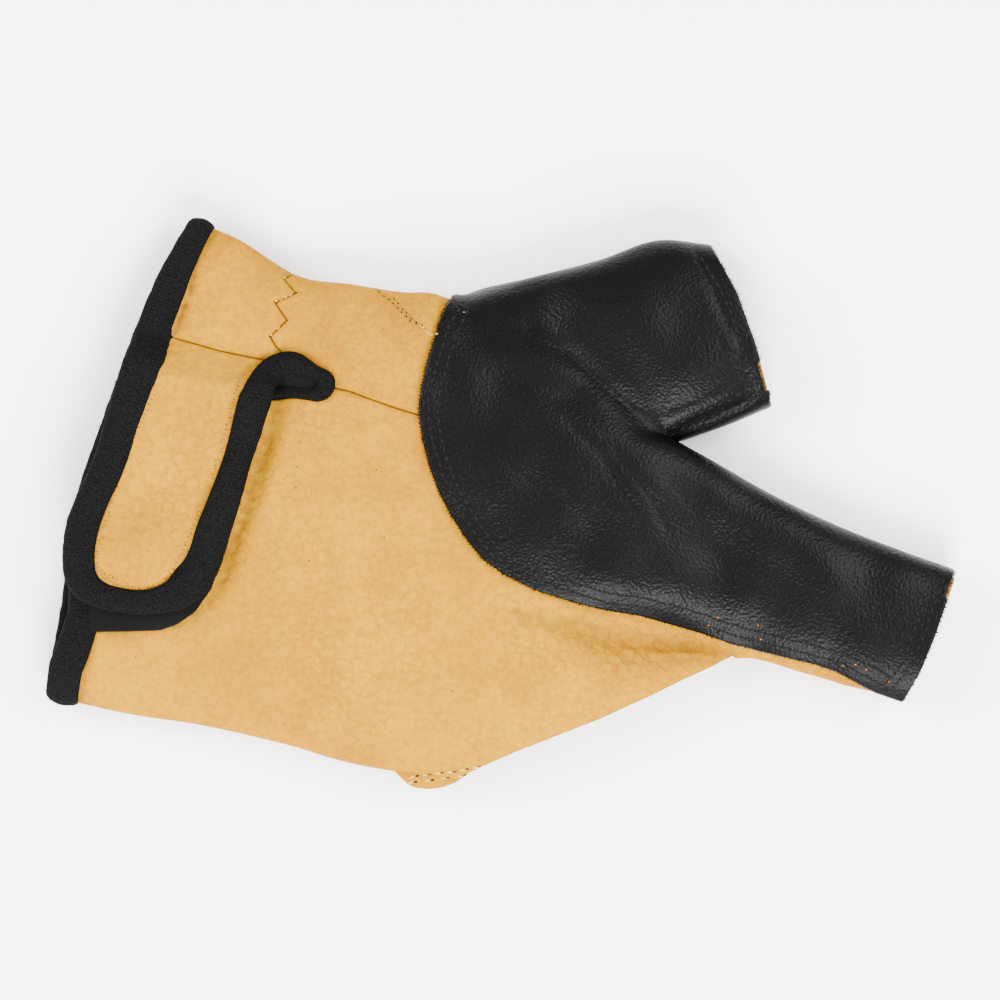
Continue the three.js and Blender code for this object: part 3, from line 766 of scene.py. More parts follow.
form = make_skin()
form_surface = BVHTree.FromPolygons(form[0][:, :3].tolist(), form[1].tolist())
skin = cut(form, inside(form[0], outline_of(
    [beyond(WRIST_EDGE[0], 0, -FAR)], WRIST_EDGE, [beyond(WRIST_EDGE[-1], 0, FAR)],
    [beyond(OPENING_EDGE[0], 0, FAR)], OPENING_EDGE,
    [beyond(OPENING_EDGE[-1], OPENING_STEP, OPENING_STEP), beyond(OPENING_EDGE[-1], OPENING_STEP, FAR)],
    [beyond(INDEX_END[0], 0, FAR)], INDEX_END,
    [beyond(INDEX_END[-1], TUBE_STEP, -TUBE_STEP), beyond(THUMB_END[0], TUBE_STEP, TUBE_STEP)], THUMB_END,
    [beyond(THUMB_END[-1], 0, -FAR)])))
gape = np.minimum(inside(skin[0], spots(WRIST_GAPE)), skin[0][:, 2] - GAPE_HEIGHT)
skin = cut(skin, -gape)

palm_field = np.minimum(inside(skin[0], spots(PALM_SEAM)), PALM_SEAM_HEIGHT - skin[0][:, 2])
palm_skin = cut(skin, palm_field - SEAM_GAP)
upper_skin = cut(skin, -palm_field - SEAM_GAP)
lid_skin = cut(form, form[0][:, 2] - PALM_SEAM_HEIGHT)


def region(*lines):
    """The part of the upper skin inside an outline, a hair's breadth from its seams."""
    return cut(upper_skin, inside(upper_skin[0], outline_of(*lines)) - SEAM_GAP)


WRIST_PANEL = (
    [beyond(PINKED_SEAM[0], 0, -FAR)], PINKED_SEAM, STRAP_ROOT[::-1],
    [beyond(STRAP_ROOT[0], -FAR, 0), beyond(STRAP_ROOT[0], -FAR, -FAR)])
THUMB_PANEL = (
    [beyond(PINKED_SEAM[0], 0, -FAR)], PINKED_SEAM, SLIT_UPPER, PANEL_SEAM,
    [CREASE[0]], STALL_SEAM[::-1], [beyond(STALL_SEAM[0], 0, -FAR)])
THUMB_STALL = (STALL_SEAM, CREASE, WEB_LINE, [beyond(WEB_LINE[-1], 0, -FAR)])
BACK_PANEL = (
    SLIT_LOWER[::-1], PANEL_SEAM, CREASE, WEB_LINE,
    [beyond(WEB_LINE[-1], 0, FAR), beyond(SLIT_LOWER[-1], -FAR, FAR), beyond(SLIT_LOWER[-1], -FAR, 0)])

# Where the leather takes brown painted shade: along the tapes, beside the strap, by the pads, under the
# patch's edge, in the slit's hollow, seams and pleats; in creases partly dye. Columns: how strongly, how far
# it reaches in millimetres, and the line
SHADE_AND_DYE_LINES = [
    (0.75, 0.9, [(213, 232), (199, 260), (190, 295), (175, 333)]),
    (0.6, 0.8, [
        (170, 345), (162, 369), (155, 389), (146, 407), (136, 432), (123, 464), (112, 497), (104, 524)]),
    (0.55, 0.7, [(104, 524), (97, 548), (96, 562), (101, 570), (114, 579), (130, 587), (156, 589)]),
    (0.55, 0.7, [
        (156, 589), (170, 581), (181, 566), (192, 542), (203, 513), (216, 479), (227, 448), (235, 414)]),
    (0.5, 0.8, [(235, 414), (243, 383), (251, 368), (264, 358), (285, 350), (306, 356), (330, 374)]),
    (0.5, 1.9, [(229, 560), (241, 522), (255, 474), (270, 428), (280, 404)]),
    (1.0, 1.6, [(268, 386), (290, 381), (312, 384)]),
    (0.25, 0.9, [(378, 293), (398, 312), (422, 331)]),
    (0.5, 1.3, [(94, 632), (88, 660), (78, 700)]),
    (0.3, 1.4, [(95, 634), (150, 634), (190, 622), (222, 590), (236, 560)]),
    (0.45, 1.5, [(520, 612), (560, 622), (640, 637), (700, 646), (733, 656)]),
    (0.2, 0.7, [
        (420, 416), (424, 444), (432, 470), (454, 522), (486, 563), (534, 592), (590, 610), (640, 620)]),
    (0.2, 0.8, [(452, 296), (436, 325), (424, 365), (418, 402)]),
    (0.2, 1.0, [(333, 388), (378, 402), (422, 416)]),
    (0.2, 1.2, [(150, 330), (220, 352), (268, 362)]),
    *((0.5, PLEAT_WIDTH, line) for line in PLEATS),
]
DARKEST = 0.9

# The painted shade is mottled by ripples: their count, their lengths in millimetres, and how much is left
# where they cancel out and how much each one adds
MOTTLE_SEED = 11
MOTTLE_RIPPLES = 12
MOTTLE_LENGTHS = (1.4, 4.5)
MOTTLE_MEAN = 0.8
MOTTLE_STEP = 0.07

# Every seam takes a little painted shade too
SEAM_SHADE = 0.35
SEAM_REACH = 0.3 * MM


def shade_and_dye(rows):
    """How much brown painted shade, in creases partly dye, each place of the leather takes, fading where the
    leather turns down its side.
    """
    chance = random.Random(MOTTLE_SEED)
    mottle = np.zeros(len(rows))
    for _ in range(MOTTLE_RIPPLES):
        heading = chance.uniform(0, 2 * math.pi)
        length = chance.uniform(*MOTTLE_LENGTHS) * MM
        along = rows[:, 0] * math.cos(heading) + rows[:, 1] * math.sin(heading)
        mottle += np.sin(2 * math.pi * along / length + chance.uniform(0, 6))
    shade = np.zeros(len(rows))
    for strength, reach, line in SHADE_AND_DYE_LINES:
        away = line_distance(rows, line) / (reach * MM)
        shade = np.maximum(shade, strength * np.exp(-(away**2)) * (MOTTLE_MEAN + MOTTLE_STEP * mottle))
    shade *= smooth_step(rows[:, 5], 0, 0.4)
    seam = SEAM_SHADE * np.exp(-((rows[:, 6] / SEAM_REACH) ** 2))
    return np.clip(np.maximum(shade, seam), 0, DARKEST)


LEATHER_FACES = [grain, suede]
panel_skins = {
    "palm_panel": palm_skin,
    "back_panel": region(*BACK_PANEL),
    "wrist_panel": region(*WRIST_PANEL),
    "thumb_panel": region(*THUMB_PANEL),
    "thumb_stall": region(*THUMB_STALL),
}
surfaces = {}
for node, panel_skin in panel_skins.items():
    panel_skin = with_edge_distance(panel_skin)
    top = round_off(panel_skin[0][:, 6], SEAM_ROUND)
    foot = np.full(len(top), -LEATHER)
    surfaces[node] = sheet(
        node + "_leather", node, panel_skin, top, foot, LEATHER_FACES, shade_and_dye(panel_skin[0]))

# Patch

# Where the yellow leather shows past the patch's end, in pixels, and how far
LINING_PEEKS = [[(960, 571), (949, 597)], [(906, 703), (899, 706)], [(767, 386), (760.5, 364)]]
PEEK_REACH = 0.8 * MM

patch_rows = upper_skin[0]
patch_plan = patch_rows[:, :2] + patch_rows[:, 3:5] * PATCH_TOP
patch_field = inside(patch_plan, outline_of(
    [beyond(PATCH_EDGE[0], 0, -FAR)], PATCH_EDGE,
    [beyond(PATCH_EDGE[-1], FAR, 0), beyond(PATCH_EDGE[-1], FAR, -2 * FAR)]))
for peek in LINING_PEEKS:
    patch_field = np.minimum(patch_field, line_distance(patch_rows, peek) - PEEK_REACH)
under_index = np.minimum(inside(patch_rows, spots(INDEX_UNDERSIDE)), UNDER_INDEX - patch_rows[:, 2])
patch_skin = with_edge_distance(cut(upper_skin, np.minimum(patch_field, -under_index)))
patch_top = PATCH_TOP + round_off(patch_skin[0][:, 6], RAW_ROUND)
surfaces["finger_patch"] = sheet(
    "finger_patch_leather", "finger_patch", patch_skin, patch_top, np.full(len(patch_top), PATCH_FOOT),
    [black, black_back])

# Strap and its pads

root_start, root_end = spots([STRAP_ROOT[3], STRAP_ROOT[5]])
root_travel = (root_end - root_start) / np.linalg.norm(root_end - root_start)

# Right of this place in pixels the strap comes down to the skin again, over this distance
STRAP_RIGHT = spots([(274, 380)])[0, 0]
STRAP_RIGHT_FALL = 4 * MM

# Distances from its edge between which the strap is crowned
CROWN_REACH = (4 * MM, 9 * MM)


def strap_rise(points):
    """How far the strap's outer face stands over the skin."""
    offset = points[:, :2] - root_start
    below = offset[:, 0] * root_travel[1] - offset[:, 1] * root_travel[0]
    aside = smooth_step(points[:, 0], STRAP_RIGHT, STRAP_RIGHT + STRAP_RIGHT_FALL)
    return STRAP_TOP * smooth_step(below, 0, STRAP_CLIMB) * (1 - aside)


strap_skin = with_edge_distance(cut(lid_skin, inside(
    lid_skin[0], outline_of(STRAP_ROOT[:1:-1], STRAP_EDGE)) - SEAM_GAP))
strap_top = strap_rise(strap_skin[0]) + STRAP_CROWN * smooth_step(strap_skin[0][:, 6], *CROWN_REACH)
strap_edge = round_off(strap_skin[0][:, 6], SEAM_ROUND)
surfaces["strap"] = sheet(
    "strap_leather", "strap", strap_skin, strap_top + strap_edge, strap_top - LEATHER, LEATHER_FACES,
    shade_and_dye(strap_skin[0]))

PADS = [("loop_pad", LOOP_PAD, LOOP_PAD_SPAN), ("hook_pad", HOOK_PAD, HOOK_PAD_SPAN)]
for node, outline, (top, foot) in PADS:
    pad_skin = with_edge_distance(cut(lid_skin, inside(lid_skin[0], spots(outline))))
    pad_top = top + round_off(pad_skin[0][:, 6], RAW_ROUND)
    surfaces[node] = sheet(
        node + "_pile", node, pad_skin, pad_top, np.full(len(pad_top), foot), [pile])

# A black sheet of painted shade, laid in the hollow between the two edges of the slit
SLIT_SHADE_OUTLINE = [
    (262, 377), (276, 368), (298, 366), (318, 374), (326, 385), (316, 394), (284, 395), (264, 393),
]
SLIT_SHADE_TOP = 0.35 * MM
SLIT_SHADE_FOOT_SHARE = 0.1
slit_shade_skin = with_edge_distance(cut(lid_skin, inside(lid_skin[0], spots(SLIT_SHADE_OUTLINE))))
slit_shade_height = np.full(len(slit_shade_skin[0]), SLIT_SHADE_TOP)
sheet("slit_shade_sheet", None, slit_shade_skin, slit_shade_height, SLIT_SHADE_FOOT_SHARE * slit_shade_height, [pile])

# Knitted bindings

# Section of a binding in millimetres: inboard of the leather's edge, and above its outer face
BINDING_SECTION = [
    (4.3, -0.05), (4.28, 0.35), (3.9, 0.8), (3.1, 1.15), (2.1, 1.36), (1.1, 1.38), (0.1, 1.2), (-0.7, 0.75),
    (-1.15, 0.1), (-1.28, -0.6), (-1.15, -1.3), (-0.7, -1.9), (0.1, -2.2), (1.5, -2.25), (3.2, -2.15),
    (4.2, -1.9), (4.3, -1.32), (2.2, -1.26), (0.3, -1.26), (0.3, 0.02), (2.2, 0.02),
]
BINDING_INBOARD = 4.3 * MM
BINDING_OVERHANG = 1.28 * MM

# The tape is a little uneven along its length, and clears the floor
PUFF_SEED = 3
PUFF = 0.05
TAPE_CLEARANCE = 0.05 * MM


def respaced(line, step):
    """A line of rows, spaced evenly along its length."""
    line = np.asarray(line, float)
    lengths = np.concatenate(([0], np.cumsum(np.linalg.norm(np.diff(line[:, :3], axis=0), axis=1))))
    along = np.linspace(0, lengths[-1], max(2, int(lengths[-1] / step)))
    return np.column_stack([np.interp(along, lengths, column) for column in line.T])


def eased(rows, rounds):
    """The rows drawn towards their neighbours, with both ends kept."""
    for _ in range(rounds):
        rows[1:-1] = 0.25 * rows[:-2] + 0.5 * rows[1:-1] + 0.25 * rows[2:]
    return rows


def binding(name, nodes, line, step, rounds):
    """A knitted tape swept along the leather's edge. Columns of the line: place, normal, inboard width,
    overhang and height as a share. It gives back its points and the way outwards at each."""
    line = eased(respaced(line, step), rounds)
    places, normals = line[:, :3], line[:, 3:6]
    inboard_width, overhang, tall = line[:, 6:9].T
    travel = unit(np.gradient(places, axis=0))
    normals = unit(normals - (normals * travel).sum(axis=1)[:, None] * travel)
    inboard = np.cross(normals, travel)
    section = smoothed(BINDING_SECTION + BINDING_SECTION[:1], 4)[:-1] * MM
    size = len(section)
    chance = np.random.default_rng(PUFF_SEED)
    puff = 1 + PUFF * eased(chance.standard_normal(len(line)), 2)
    across, above = section.T
    reach = np.where(
        across > 0, across * (inboard_width / BINDING_INBOARD)[:, None],
        across * (overhang / BINDING_OVERHANG * puff)[:, None])
    height = above * (puff * tall)[:, None]
    rings = places[:, None] + inboard[:, None] * reach[..., None] + normals[:, None] * height[..., None]
    outward = unit((rings - rings.mean(axis=1)[:, None]).reshape(-1, 3))
    points = rings.reshape(-1, 3)
    points[:, 2] = np.maximum(points[:, 2], TAPE_CLEARANCE)
    along = np.concatenate(([0], np.cumsum(np.linalg.norm(np.diff(places, axis=0), axis=1))))
    around = np.concatenate(([0], np.cumsum(np.linalg.norm(np.roll(section, -1, axis=0) - section, axis=1))))
    ring = np.arange(size)
    following = (ring + 1) % size
    base = np.arange(len(line) - 1)[:, None] * size
    faces = np.stack((base + ring, base + ring + size, base + following + size, base + following), axis=2)
    low, high = along[:-1, None], along[1:, None]
    corners = [np.stack(np.broadcast_arrays(u, v), axis=2) for u, v in (
        (low, around[:-1]), (high, around[:-1]), (high, around[1:]), (low, around[1:]))]
    uvs = np.stack(corners, axis=2).reshape(-1, 2)
    half = np.arange(size // 2 - 1)
    cap = np.column_stack((half, half + 1, size - 2 - half, size - 1 - half))
    faces = np.vstack((faces.reshape(-1, 4), cap, cap[:, ::-1] + (len(line) - 1) * size))
    uvs = np.vstack((uvs, np.zeros((2 * len(cap) * 4, 2))))
    piece = mesh_piece(name, points, faces, [knit], uvs=uvs)
    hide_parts(*nodes)
    return points, outward


# Inboard width and overhang of the wrist's tape in millimetres, at heights of the photograph
WRIST_WIDTHS = [
    (205, 3.5, 1.8), (235, 3.8, 1.7), (290, 5.3, 1.5), (340, 5.9, 1.35), (480, 4.6, 1.4), (600, 4.8, 1.5),
    (650, 5.2, 1.9), (682, 4.9, 1.9), (705, 4.6, 1.9),
]

# The wrist's edge lies left of this place, and its tape runs round it between the other two, in pixels
WRIST_SIDE = (260, 0)
WRIST_TAPE_START = (123, 384)
WRIST_TAPE_END = (133, 350)


def nearest_above(ring, spot):
    """The point of a ring that is nearest in plan to a place in pixels, on the glove's upper side."""
    away = np.linalg.norm(ring[:, :2] - spots([spot])[0], axis=1)
    return np.argmin(np.where(ring[:, 5] > 0.2, away, np.inf))


def wrist_line():
    """Round the glove's wrist edge, from under the strap by the palm to the strap's root."""
    rows, faces = skin
    rings = [rows[line] for line in loops_of(border(faces))]
    ring = next(ring for ring in rings if ring[:, 0].max() < spots([WRIST_SIDE])[0, 0])
    ring = np.roll(ring, -nearest_above(ring, WRIST_TAPE_START), axis=0)
    if ring[5, 1] > ring[0, 1]:
        ring = ring[::-1]
    ring = ring[:nearest_above(ring, WRIST_TAPE_END) + 1]
    down = PHOTO_ORIGIN[1] - ring[:, 1] / PIXEL
    at, inboard_width, overhang = np.transpose(WRIST_WIDTHS)
    widths = [np.interp(down, at, inboard_width) * MM, np.interp(down, at, overhang) * MM]
    return np.column_stack((ring[:, :6], *widths, np.ones(len(ring))))


# Strap band and on round the slit. Columns: the band's outer edge in pixels, its whole width in
# pixels, its height as a share, and how far it rises with the strap
STRAP_BAND = [
    (142, 316, 37, 0.7, 1), (134.5, 333, 42, 0.98, 1), (127, 352, 42, 1.06, 1), (118, 381, 42, 1.06, 1),
    (107, 418, 37.5, 1.06, 1), (94, 460, 34, 1.06, 1), (79, 494, 33, 1.06, 1), (67.5, 525, 34, 1.06, 1),
    (64, 552, 33, 1.06, 1), (66, 578, 33, 1.06, 1), (78, 597, 32, 1.06, 1), (98, 608, 28, 1.06, 1),
    (122, 612.5, 25, 1.06, 1), (146, 614, 25, 1.06, 1), (168, 612.5, 29, 1.06, 1), (188, 607, 35, 1.06, 1),
    (206, 594, 38, 1.06, 1), (220, 571, 38, 1.06, 1), (232, 534, 34, 1.06, 1), (243, 499, 31, 1.06, 1),
    (251.5, 467, 28, 1.06, 1), (261, 440, 30, 1.06, 1), (268.5, 417, 32, 1.06, 1), (273, 402, 32, 1.06, 1),
    (275.5, 391, 29, 1.06, 1), (280, 382, 27, 1.1, 1), (287, 377.5, 26, 1.15, 0.9),
    (295, 377, 24.5, 1.2, 0.7), (304, 379, 20, 1.2, 0.5), (310, 381, 17.5, 1.2, 0.4),
    (314.3, 383, 16.5, 1.2, 0.35), (316, 384.8, 21, 1.2, 0.3), (314.5, 386.6, 17, 1.15, 0.3),
    (310, 387, 14, 1.1, 0.3), (303, 387, 13, 1, 0.2), (294, 386.5, 12, 1, 0.1), (284, 386.5, 11.5, 1, 0.1),
    (274, 387.5, 12, 1, 0.1), (262, 389, 12, 1, 0),
]


def strap_line():
    """Down the strap's free edge, round its end, up its other edge and round the end of the slit."""
    table = smoothed(STRAP_BAND, 8)
    plan = spots(table[:, :2])
    travel = unit(np.gradient(plan, axis=0))
    inboard = np.column_stack((-travel[:, 1], travel[:, 0]))
    plan = plan + inboard * BINDING_OVERHANG
    places, normals, _ = dropped([form_surface], plan)
    places[:, 2] += strap_rise(places) * np.clip(table[:, 4], 0, 1)
    width = table[:, 2] * PIXEL - BINDING_OVERHANG
    return np.column_stack((places, normals, width, np.full(len(table), BINDING_OVERHANG), table[:, 3]))


bands = [
    ("wrist_fuzz", *binding("wrist_tape", ["wrist_binding"], wrist_line(), 0.6 * MM, 4)),
    ("strap_fuzz", *binding("strap_tape", ["strap_binding", "slit_binding"], strap_line(), 0.4 * MM, 2)),
]

# Corner tab

low_corner, high_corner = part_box("corner_tab")
tab_plan = spots(smoothed(CORNER_TAB + CORNER_TAB[:1], 4)[:-1])
tab_middle = tab_plan.mean(axis=0)
tab_round = 0.4 * MM
tab_points = []
for z, inset in (
        (low_corner[2], tab_round), (low_corner[2] + tab_round, 0), (high_corner[2] - tab_round, 0),
        (high_corner[2] - 0.3 * tab_round, 0.3 * tab_round), (high_corner[2], tab_round)):
    ring = tab_plan + unit(tab_middle - tab_plan) * inset
    tab_points += [(x, y, z) for x, y in ring]
tab_points += [(*tab_middle, low_corner[2]), (*tab_middle, high_corner[2])]
tab_size = len(tab_plan)
tab_ring = np.arange(tab_size)
tab_next = (tab_ring + 1) % tab_size
tab_faces = []
for base in range(0, 4 * tab_size, tab_size):
    tab_faces += [
        np.column_stack((base + tab_ring, base + tab_size + tab_next, base + tab_next)),
        np.column_stack((base + tab_ring, base + tab_size + tab_ring, base + tab_size + tab_next))]
bottom = np.full(tab_size, 5 * tab_size)
tab_faces += [
    np.column_stack((bottom, tab_ring, tab_next)),
    np.column_stack((bottom + 1, 4 * tab_size + tab_next, 4 * tab_size + tab_ring))]
tab_faces = np.vstack(tab_faces)
tab = mesh_piece("corner_tab_leather", tab_points, tab_faces, [grain])
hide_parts("corner_tab")
surfaces["corner_tab"] = BVHTree.FromPolygons([tuple(p) for p in tab_points], tab_faces.tolist())

# Stitches, needle holes and loose fibres

BALL_RINGS = 6
BALL_SIDES = 8


def ball():
    """A unit ball as points and triangles."""
    points = [(0, 0, 1)]
    for ring in range(1, BALL_RINGS):
        tilt = math.pi * ring / BALL_RINGS
        points += [
            (math.sin(tilt) * math.cos(turn), math.sin(tilt) * math.sin(turn), math.cos(tilt))
            for turn in np.arange(BALL_SIDES) * 2 * math.pi / BALL_SIDES]
    points.append((0, 0, -1))
    last = len(points) - 1
    faces = []
    for i in range(BALL_SIDES):
        j = (i + 1) % BALL_SIDES
        faces += [(0, 1 + i, 1 + j), (last, last - BALL_SIDES + j, last - BALL_SIDES + i)]
        for k in range(BALL_RINGS - 2):
            a, b = 1 + k * BALL_SIDES, 1 + (k + 1) * BALL_SIDES
            faces += [(a + i, b + i, b + j), (a + i, b + j, a + j)]
    return np.array(points), np.array(faces)


def beads(name, places, travel, normals, half_size, material):
    """Many small balls drawn out along the surface, joined into one piece."""
    travel = unit(travel - (travel * normals).sum(axis=1)[:, None] * normals)
    side = np.cross(normals, travel)
    ball_points, ball_faces = ball()
    sized = ball_points * np.array(half_size) * MM
    points = (
        places[:, None] + travel[:, None] * sized[:, 0:1] + side[:, None] * sized[:, 1:2]
        + normals[:, None] * sized[:, 2:3])
    faces = ball_faces + np.arange(len(places))[:, None, None] * len(ball_points)
    return mesh_piece(name, points.reshape(-1, 3), faces.reshape(-1, 3), [material])


def stitch_places(line, pitch, under, jitter, seed):
    """Middles, headings and normals of the stitches along a line of pixels."""
    plan = spots(smoothed(line, 8))
    plan = respaced(np.column_stack((plan, np.zeros(len(plan)))), pitch)[:, :2]
    heading = unit(np.gradient(plan, axis=0))
    plan = plan + np.random.default_rng(seed).normal(0, jitter, plan.shape)
    places, normals, kept = dropped(under, plan)
    return places, np.column_stack((heading, np.zeros(len(heading))))[kept], normals


def stitch_rows(name, lines, pitch, jitter, under, half_size, material, seed, across=False):
    """Rows of stitches, joined into one piece. It gives back their middles and headings."""
    rows = [stitch_places(line, pitch, under, jitter, seed + k) for k, line in enumerate(lines)]
    places, headings, normals = (np.vstack(column) for column in zip(*rows))
    if across:
        headings = np.cross(normals, headings)
    beads(name, places, headings, normals, half_size, material)
    return places, headings


def sewn(name, lines, pitch, jitter, under, seed, thread, thread_size, hole, hole_size):
    """Rows of stitches with a needle hole after each, drawn as a dark bead of painted shade."""
    places, headings = stitch_rows(
        name + "_stitches", lines, pitch, jitter, under, thread_size, thread, seed)
    holes, facing, kept = dropped(under, (places + headings * pitch / 2)[:, :2])
    beads(name + "_needle_holes", holes, headings[kept], facing, hole_size, hole)


PATCH_ROWS = [
    [(463, 303), (450, 326), (443, 348), (437, 367), (431, 390), (429, 404), (430, 420), (433, 440),
     (440, 464), (449, 488), (461, 511), (474, 531), (491, 552), (511, 566), (537, 579), (563, 588),
     (590, 597), (614, 603), (642, 607), (702, 624), (734, 635), (773, 645), (817, 656), (840, 663),
     (861, 674), (882, 685)],
    [(472, 305), (459, 330), (452, 351), (446, 370), (440, 392), (438, 405), (439, 419), (442, 438),
     (448, 461), (457, 484), (469, 506), (481, 526), (497, 545), (516, 558), (541, 571), (566, 580),
     (592, 588), (616, 594), (645, 598), (705, 615), (737, 626), (776, 636), (820, 647), (845, 654),
     (868, 665), (884, 674)],
    [(890, 690), (907, 668), (921, 637), (934, 602), (946, 572)],
    [(884, 684), (899, 664), (912, 633), (925, 599), (937, 569)],
    [(697, 251), (710, 274), (724, 300), (743, 352), (752, 388)],
    [(690, 253), (703, 276), (717, 303), (735, 355), (745, 388)],
    [(672, 434), (700, 421), (730, 409), (752, 398)],
    [(664, 432), (694, 415), (726, 401), (746, 389)],
]
TAB_ROWS = [
    [(400, 780), (425, 775), (450, 772), (475, 767)],
    [(411, 783), (436, 780), (460, 776)],
]
DART_ROWS = [
    [(377, 290), (392, 303), (408, 318), (425, 330)],
    [(393, 297), (400, 306), (411, 318), (425, 330)],
]
THREAD_TAIL = [(421, 327), (427, 332), (432, 336), (437, 335)]
PINKED_THREADS = [
    [(284.5, 277.5), (292, 274)],
    [(295, 293.3), (276.5, 301.8)],
    [(286.5, 321.5), (271.5, 335.5)],
]

# Specks of the orange lining at the patch's needle holes, and pores of the yellow leather, dark with painted
# shade
ORANGE_SPECKS = [
    (669, 614), (717, 617), (708, 625), (757, 625), (760, 639), (842, 665), (854, 664), (865, 669),
    (888, 681), (464, 313),
]
PORES = [(298, 467), (297, 487), (377, 470), (385, 537), (301, 442), (136, 657), (310, 560), (452, 690)]

# Puckers of the leather along the inner edge of the tape, drawn as short dark ticks of painted shade
TICK_PITCH = 0.85 * MM
TICK_LINES = [
    [(156, 395), (139, 431), (126, 464), (115, 497), (108, 524), (100, 549), (99, 561), (103, 569),
     (115, 577)],
    [(115, 577), (130, 584), (143, 587), (156, 586), (168, 578), (179, 563), (189, 541), (201, 512)],
    [(213, 479), (223, 448), (232, 414), (241, 383)],
]

on_patch = [surfaces["finger_patch"]]
sewn(
    "patch", PATCH_ROWS, 1.85 * MM, 0.07 * MM, on_patch, 20, black_thread, (0.62, 0.28, 0.2),
    hollow_shade_black, (0.34, 0.26, 0.07))
on_tan = [surfaces[node] for node in ("back_panel", "wrist_panel", "thumb_panel", "corner_tab")]
sewn(
    "tab", TAB_ROWS, 2.0 * MM, 0.05 * MM, on_tan, 40, tan_thread, (0.6, 0.3, 0.22),
    hollow_shade_brown, (0.42, 0.26, 0.08))
sewn(
    "dart", DART_ROWS, 1.05 * MM, 0.08 * MM, on_tan, 50, ochre_thread, (0.36, 0.19, 0.2),
    hollow_shade_brown, (0.26, 0.22, 0.08))
stitch_rows(
    "pinked_stitches", PINKED_THREADS, 0.8 * MM, 0.03 * MM, on_tan, (0.42, 0.17, 0.16), tan_thread,
    60)
stitch_rows(
    "thread_tail", [THREAD_TAIL], 0.25 * MM, 0.02 * MM, on_tan + on_patch, (0.3, 0.15, 0.15), tan_thread,
    64)
stitch_rows(
    "tape_puckers", TICK_LINES, TICK_PITCH, 0.2 * MM, on_tan + [surfaces["strap"]], (0.3, 0.08, 0.05),
    hollow_shade_brown, 66, across=True)
for name, pixels, under, half_size, material, slot in (
        ("pinked_needle_holes", PINKED_SEAM[2:7], on_tan, (0.3, 0.3, 0.08), hollow_shade_brown, "tan_leather"),
        ("leather_pores", PORES, on_tan, (0.2, 0.14, 0.05), hollow_shade_brown, "tan_leather"),
        ("orange_specks", ORANGE_SPECKS, on_patch, (0.2, 0.14, 0.16), orange_thread, "black_leather")):
    places, facing, _ = dropped(under, spots(pixels))
    beads(name, places, np.tile((1.0, 0, 0), (len(places), 1)), facing, half_size, material)


# Rings of a fibre: how far along it, how thick and how far bent over, as shares
FIBRE_RINGS = [(0, 1, 0), (0.5, 0.7, 0.08), (1, 0.15, 0.4)]
FIBRE_TURNS = (0, 2.1, 4.2)
FIBRE_BEND = 0.7
FIBRE_LENGTHS = (0.4, 1.3)


def fibres(name, roots, directions, length, radius, material, seed):
    """Thin loose fibres, each a bent spike of three sides."""
    chance = np.random.default_rng(seed)
    count = len(roots)
    directions = unit(directions)
    bend = unit(directions + chance.normal(0, FIBRE_BEND, directions.shape))
    lengths = length * chance.uniform(*FIBRE_LENGTHS, (count, 1))
    side = unit(np.cross(directions, chance.normal(0, 1, directions.shape)))
    other = np.cross(directions, side)
    rings = []
    for share, thin, lean in FIBRE_RINGS:
        middle = roots + (directions * (1 - lean) + bend * lean) * lengths * share
        rings += [
            middle + (side * math.cos(turn) + other * math.sin(turn)) * radius * thin
            for turn in FIBRE_TURNS]
    points = np.stack(rings, axis=1).reshape(-1, 3)
    template = [(0, 2, 1), (6, 7, 8)]
    for base in (0, 3):
        for i in range(3):
            j = (i + 1) % 3
            template += [(base + i, base + j, base + 3 + j), (base + i, base + 3 + j, base + 3 + i)]
    faces = np.array(template) + np.arange(count)[:, None, None] * 9
    points[:, 2] = np.maximum(points[:, 2], 0.01 * MM)
    return mesh_piece(name, points, faces.reshape(-1, 3), [material])


# Fuzz of the tapes
FUZZ_COUNT = 5200
FUZZ_LENGTH = 0.42 * MM
FUZZ_RADIUS = 0.03 * MM
FUZZ_SCATTER = 0.15 * MM
for k, (name, points, outward) in enumerate(bands):
    chance = np.random.default_rng(70 + k)
    chosen = chance.choice(len(points), FUZZ_COUNT)
    roots = points[chosen] + chance.normal(0, FUZZ_SCATTER, (FUZZ_COUNT, 3))
    fibres(name, roots, outward[chosen], FUZZ_LENGTH, FUZZ_RADIUS, knit, 80 + k)

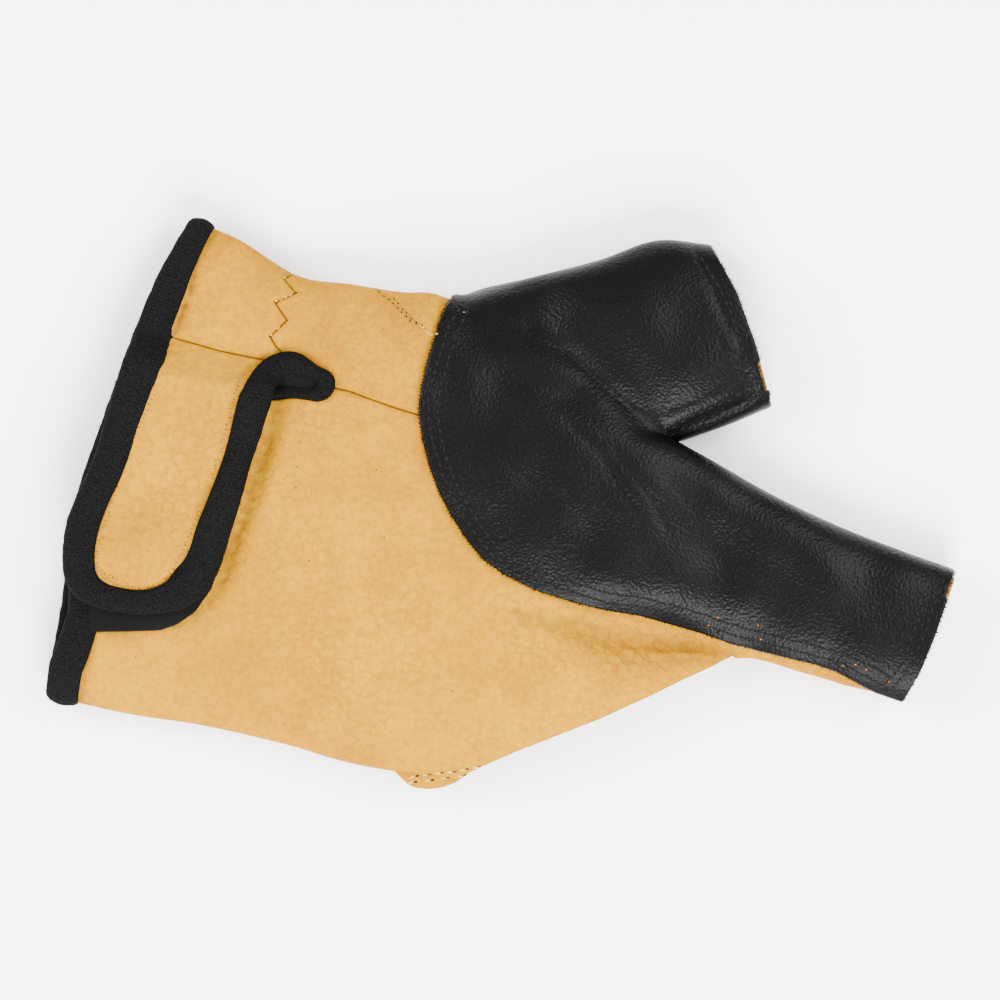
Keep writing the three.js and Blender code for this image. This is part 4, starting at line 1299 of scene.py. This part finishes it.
# Raw edge of the patch
FRAY_COUNT = 3600
FRAY_LENGTH = 0.5 * MM
FRAY_RADIUS = 0.07 * MM
FRAY_SPREAD = 0.35
chance = np.random.default_rng(90)
rows, faces = patch_skin
rims = border(faces)
rims = rows[rims[chance.choice(len(rims), FRAY_COUNT)]]
start, end = rims[:, 0], rims[:, 1]
fray_heights = chance.uniform(PATCH_FOOT, PATCH_TOP - 0.2 * MM, (FRAY_COUNT, 1))
fray_roots = start[:, :3] + start[:, 3:6] * fray_heights
fray_outward = np.cross(unit(end[:, :3] - start[:, :3]), start[:, 3:6])
fray_outward = fray_outward + chance.normal(0, FRAY_SPREAD, (FRAY_COUNT, 3))
fibres(
    "patch_frayed_edge", fray_roots, fray_outward, FRAY_LENGTH, FRAY_RADIUS, black_back, 91)

# Floor, light and camera

# Lights: name, place in metres, size in metres and power in watts
FLOOR_SIDE = 4.0
LIGHTS = [
    ("key_light", (0.1, -0.8, 0.8), 0.6, 56.0),
    ("left_light", (-0.8, 0.25, 0.75), 0.6, 32.0),
    ("right_light", (0.75, 0.3, 0.8), 0.7, 27.0),
]
WORLD_STRENGTH = 1.45

# The camera looks straight down, and the photograph's width fills its view at the glove's mean height
CAMERA_HEIGHT = 1.1
GLOVE_LEVEL = 10 * MM
SENSOR = 36
PHOTO_WIDTH = 1000 * PIXEL
PHOTO_MIDDLE = (500, 500)


def studio():
    bpy.ops.mesh.primitive_plane_add(size=FLOOR_SIDE, location=(0, 0, 0))
    floor = bpy.context.object
    floor.name = "floor"
    floor.data.materials.append(new_material("white_paper", (0.93, 0.93, 0.93), 0.9)[0])
    world = bpy.data.worlds.new("soft_white")
    bpy.context.scene.world = world
    world.use_nodes = True
    world.node_tree.nodes["Background"].inputs["Color"].default_value = (1, 1, 1, 1)
    world.node_tree.nodes["Background"].inputs["Strength"].default_value = WORLD_STRENGTH
    for name, place, size, power in LIGHTS:
        light = bpy.data.lights.new(name, "AREA")
        light.energy = power
        light.size = size
        lamp = bpy.data.objects.new(name, light)
        lamp.location = place
        lamp.rotation_euler = Vector(place).to_track_quat("Z", "Y").to_euler()
        bpy.context.scene.collection.objects.link(lamp)
    lens = bpy.data.cameras.new("camera")
    lens.sensor_width = SENSOR
    lens.lens = SENSOR * (CAMERA_HEIGHT - GLOVE_LEVEL) / PHOTO_WIDTH
    eye = bpy.data.objects.new("camera", lens)
    x, y = spots([PHOTO_MIDDLE])[0]
    eye.location = (x, y, CAMERA_HEIGHT)
    bpy.context.scene.collection.objects.link(eye)
    bpy.context.scene.camera = eye


studio()
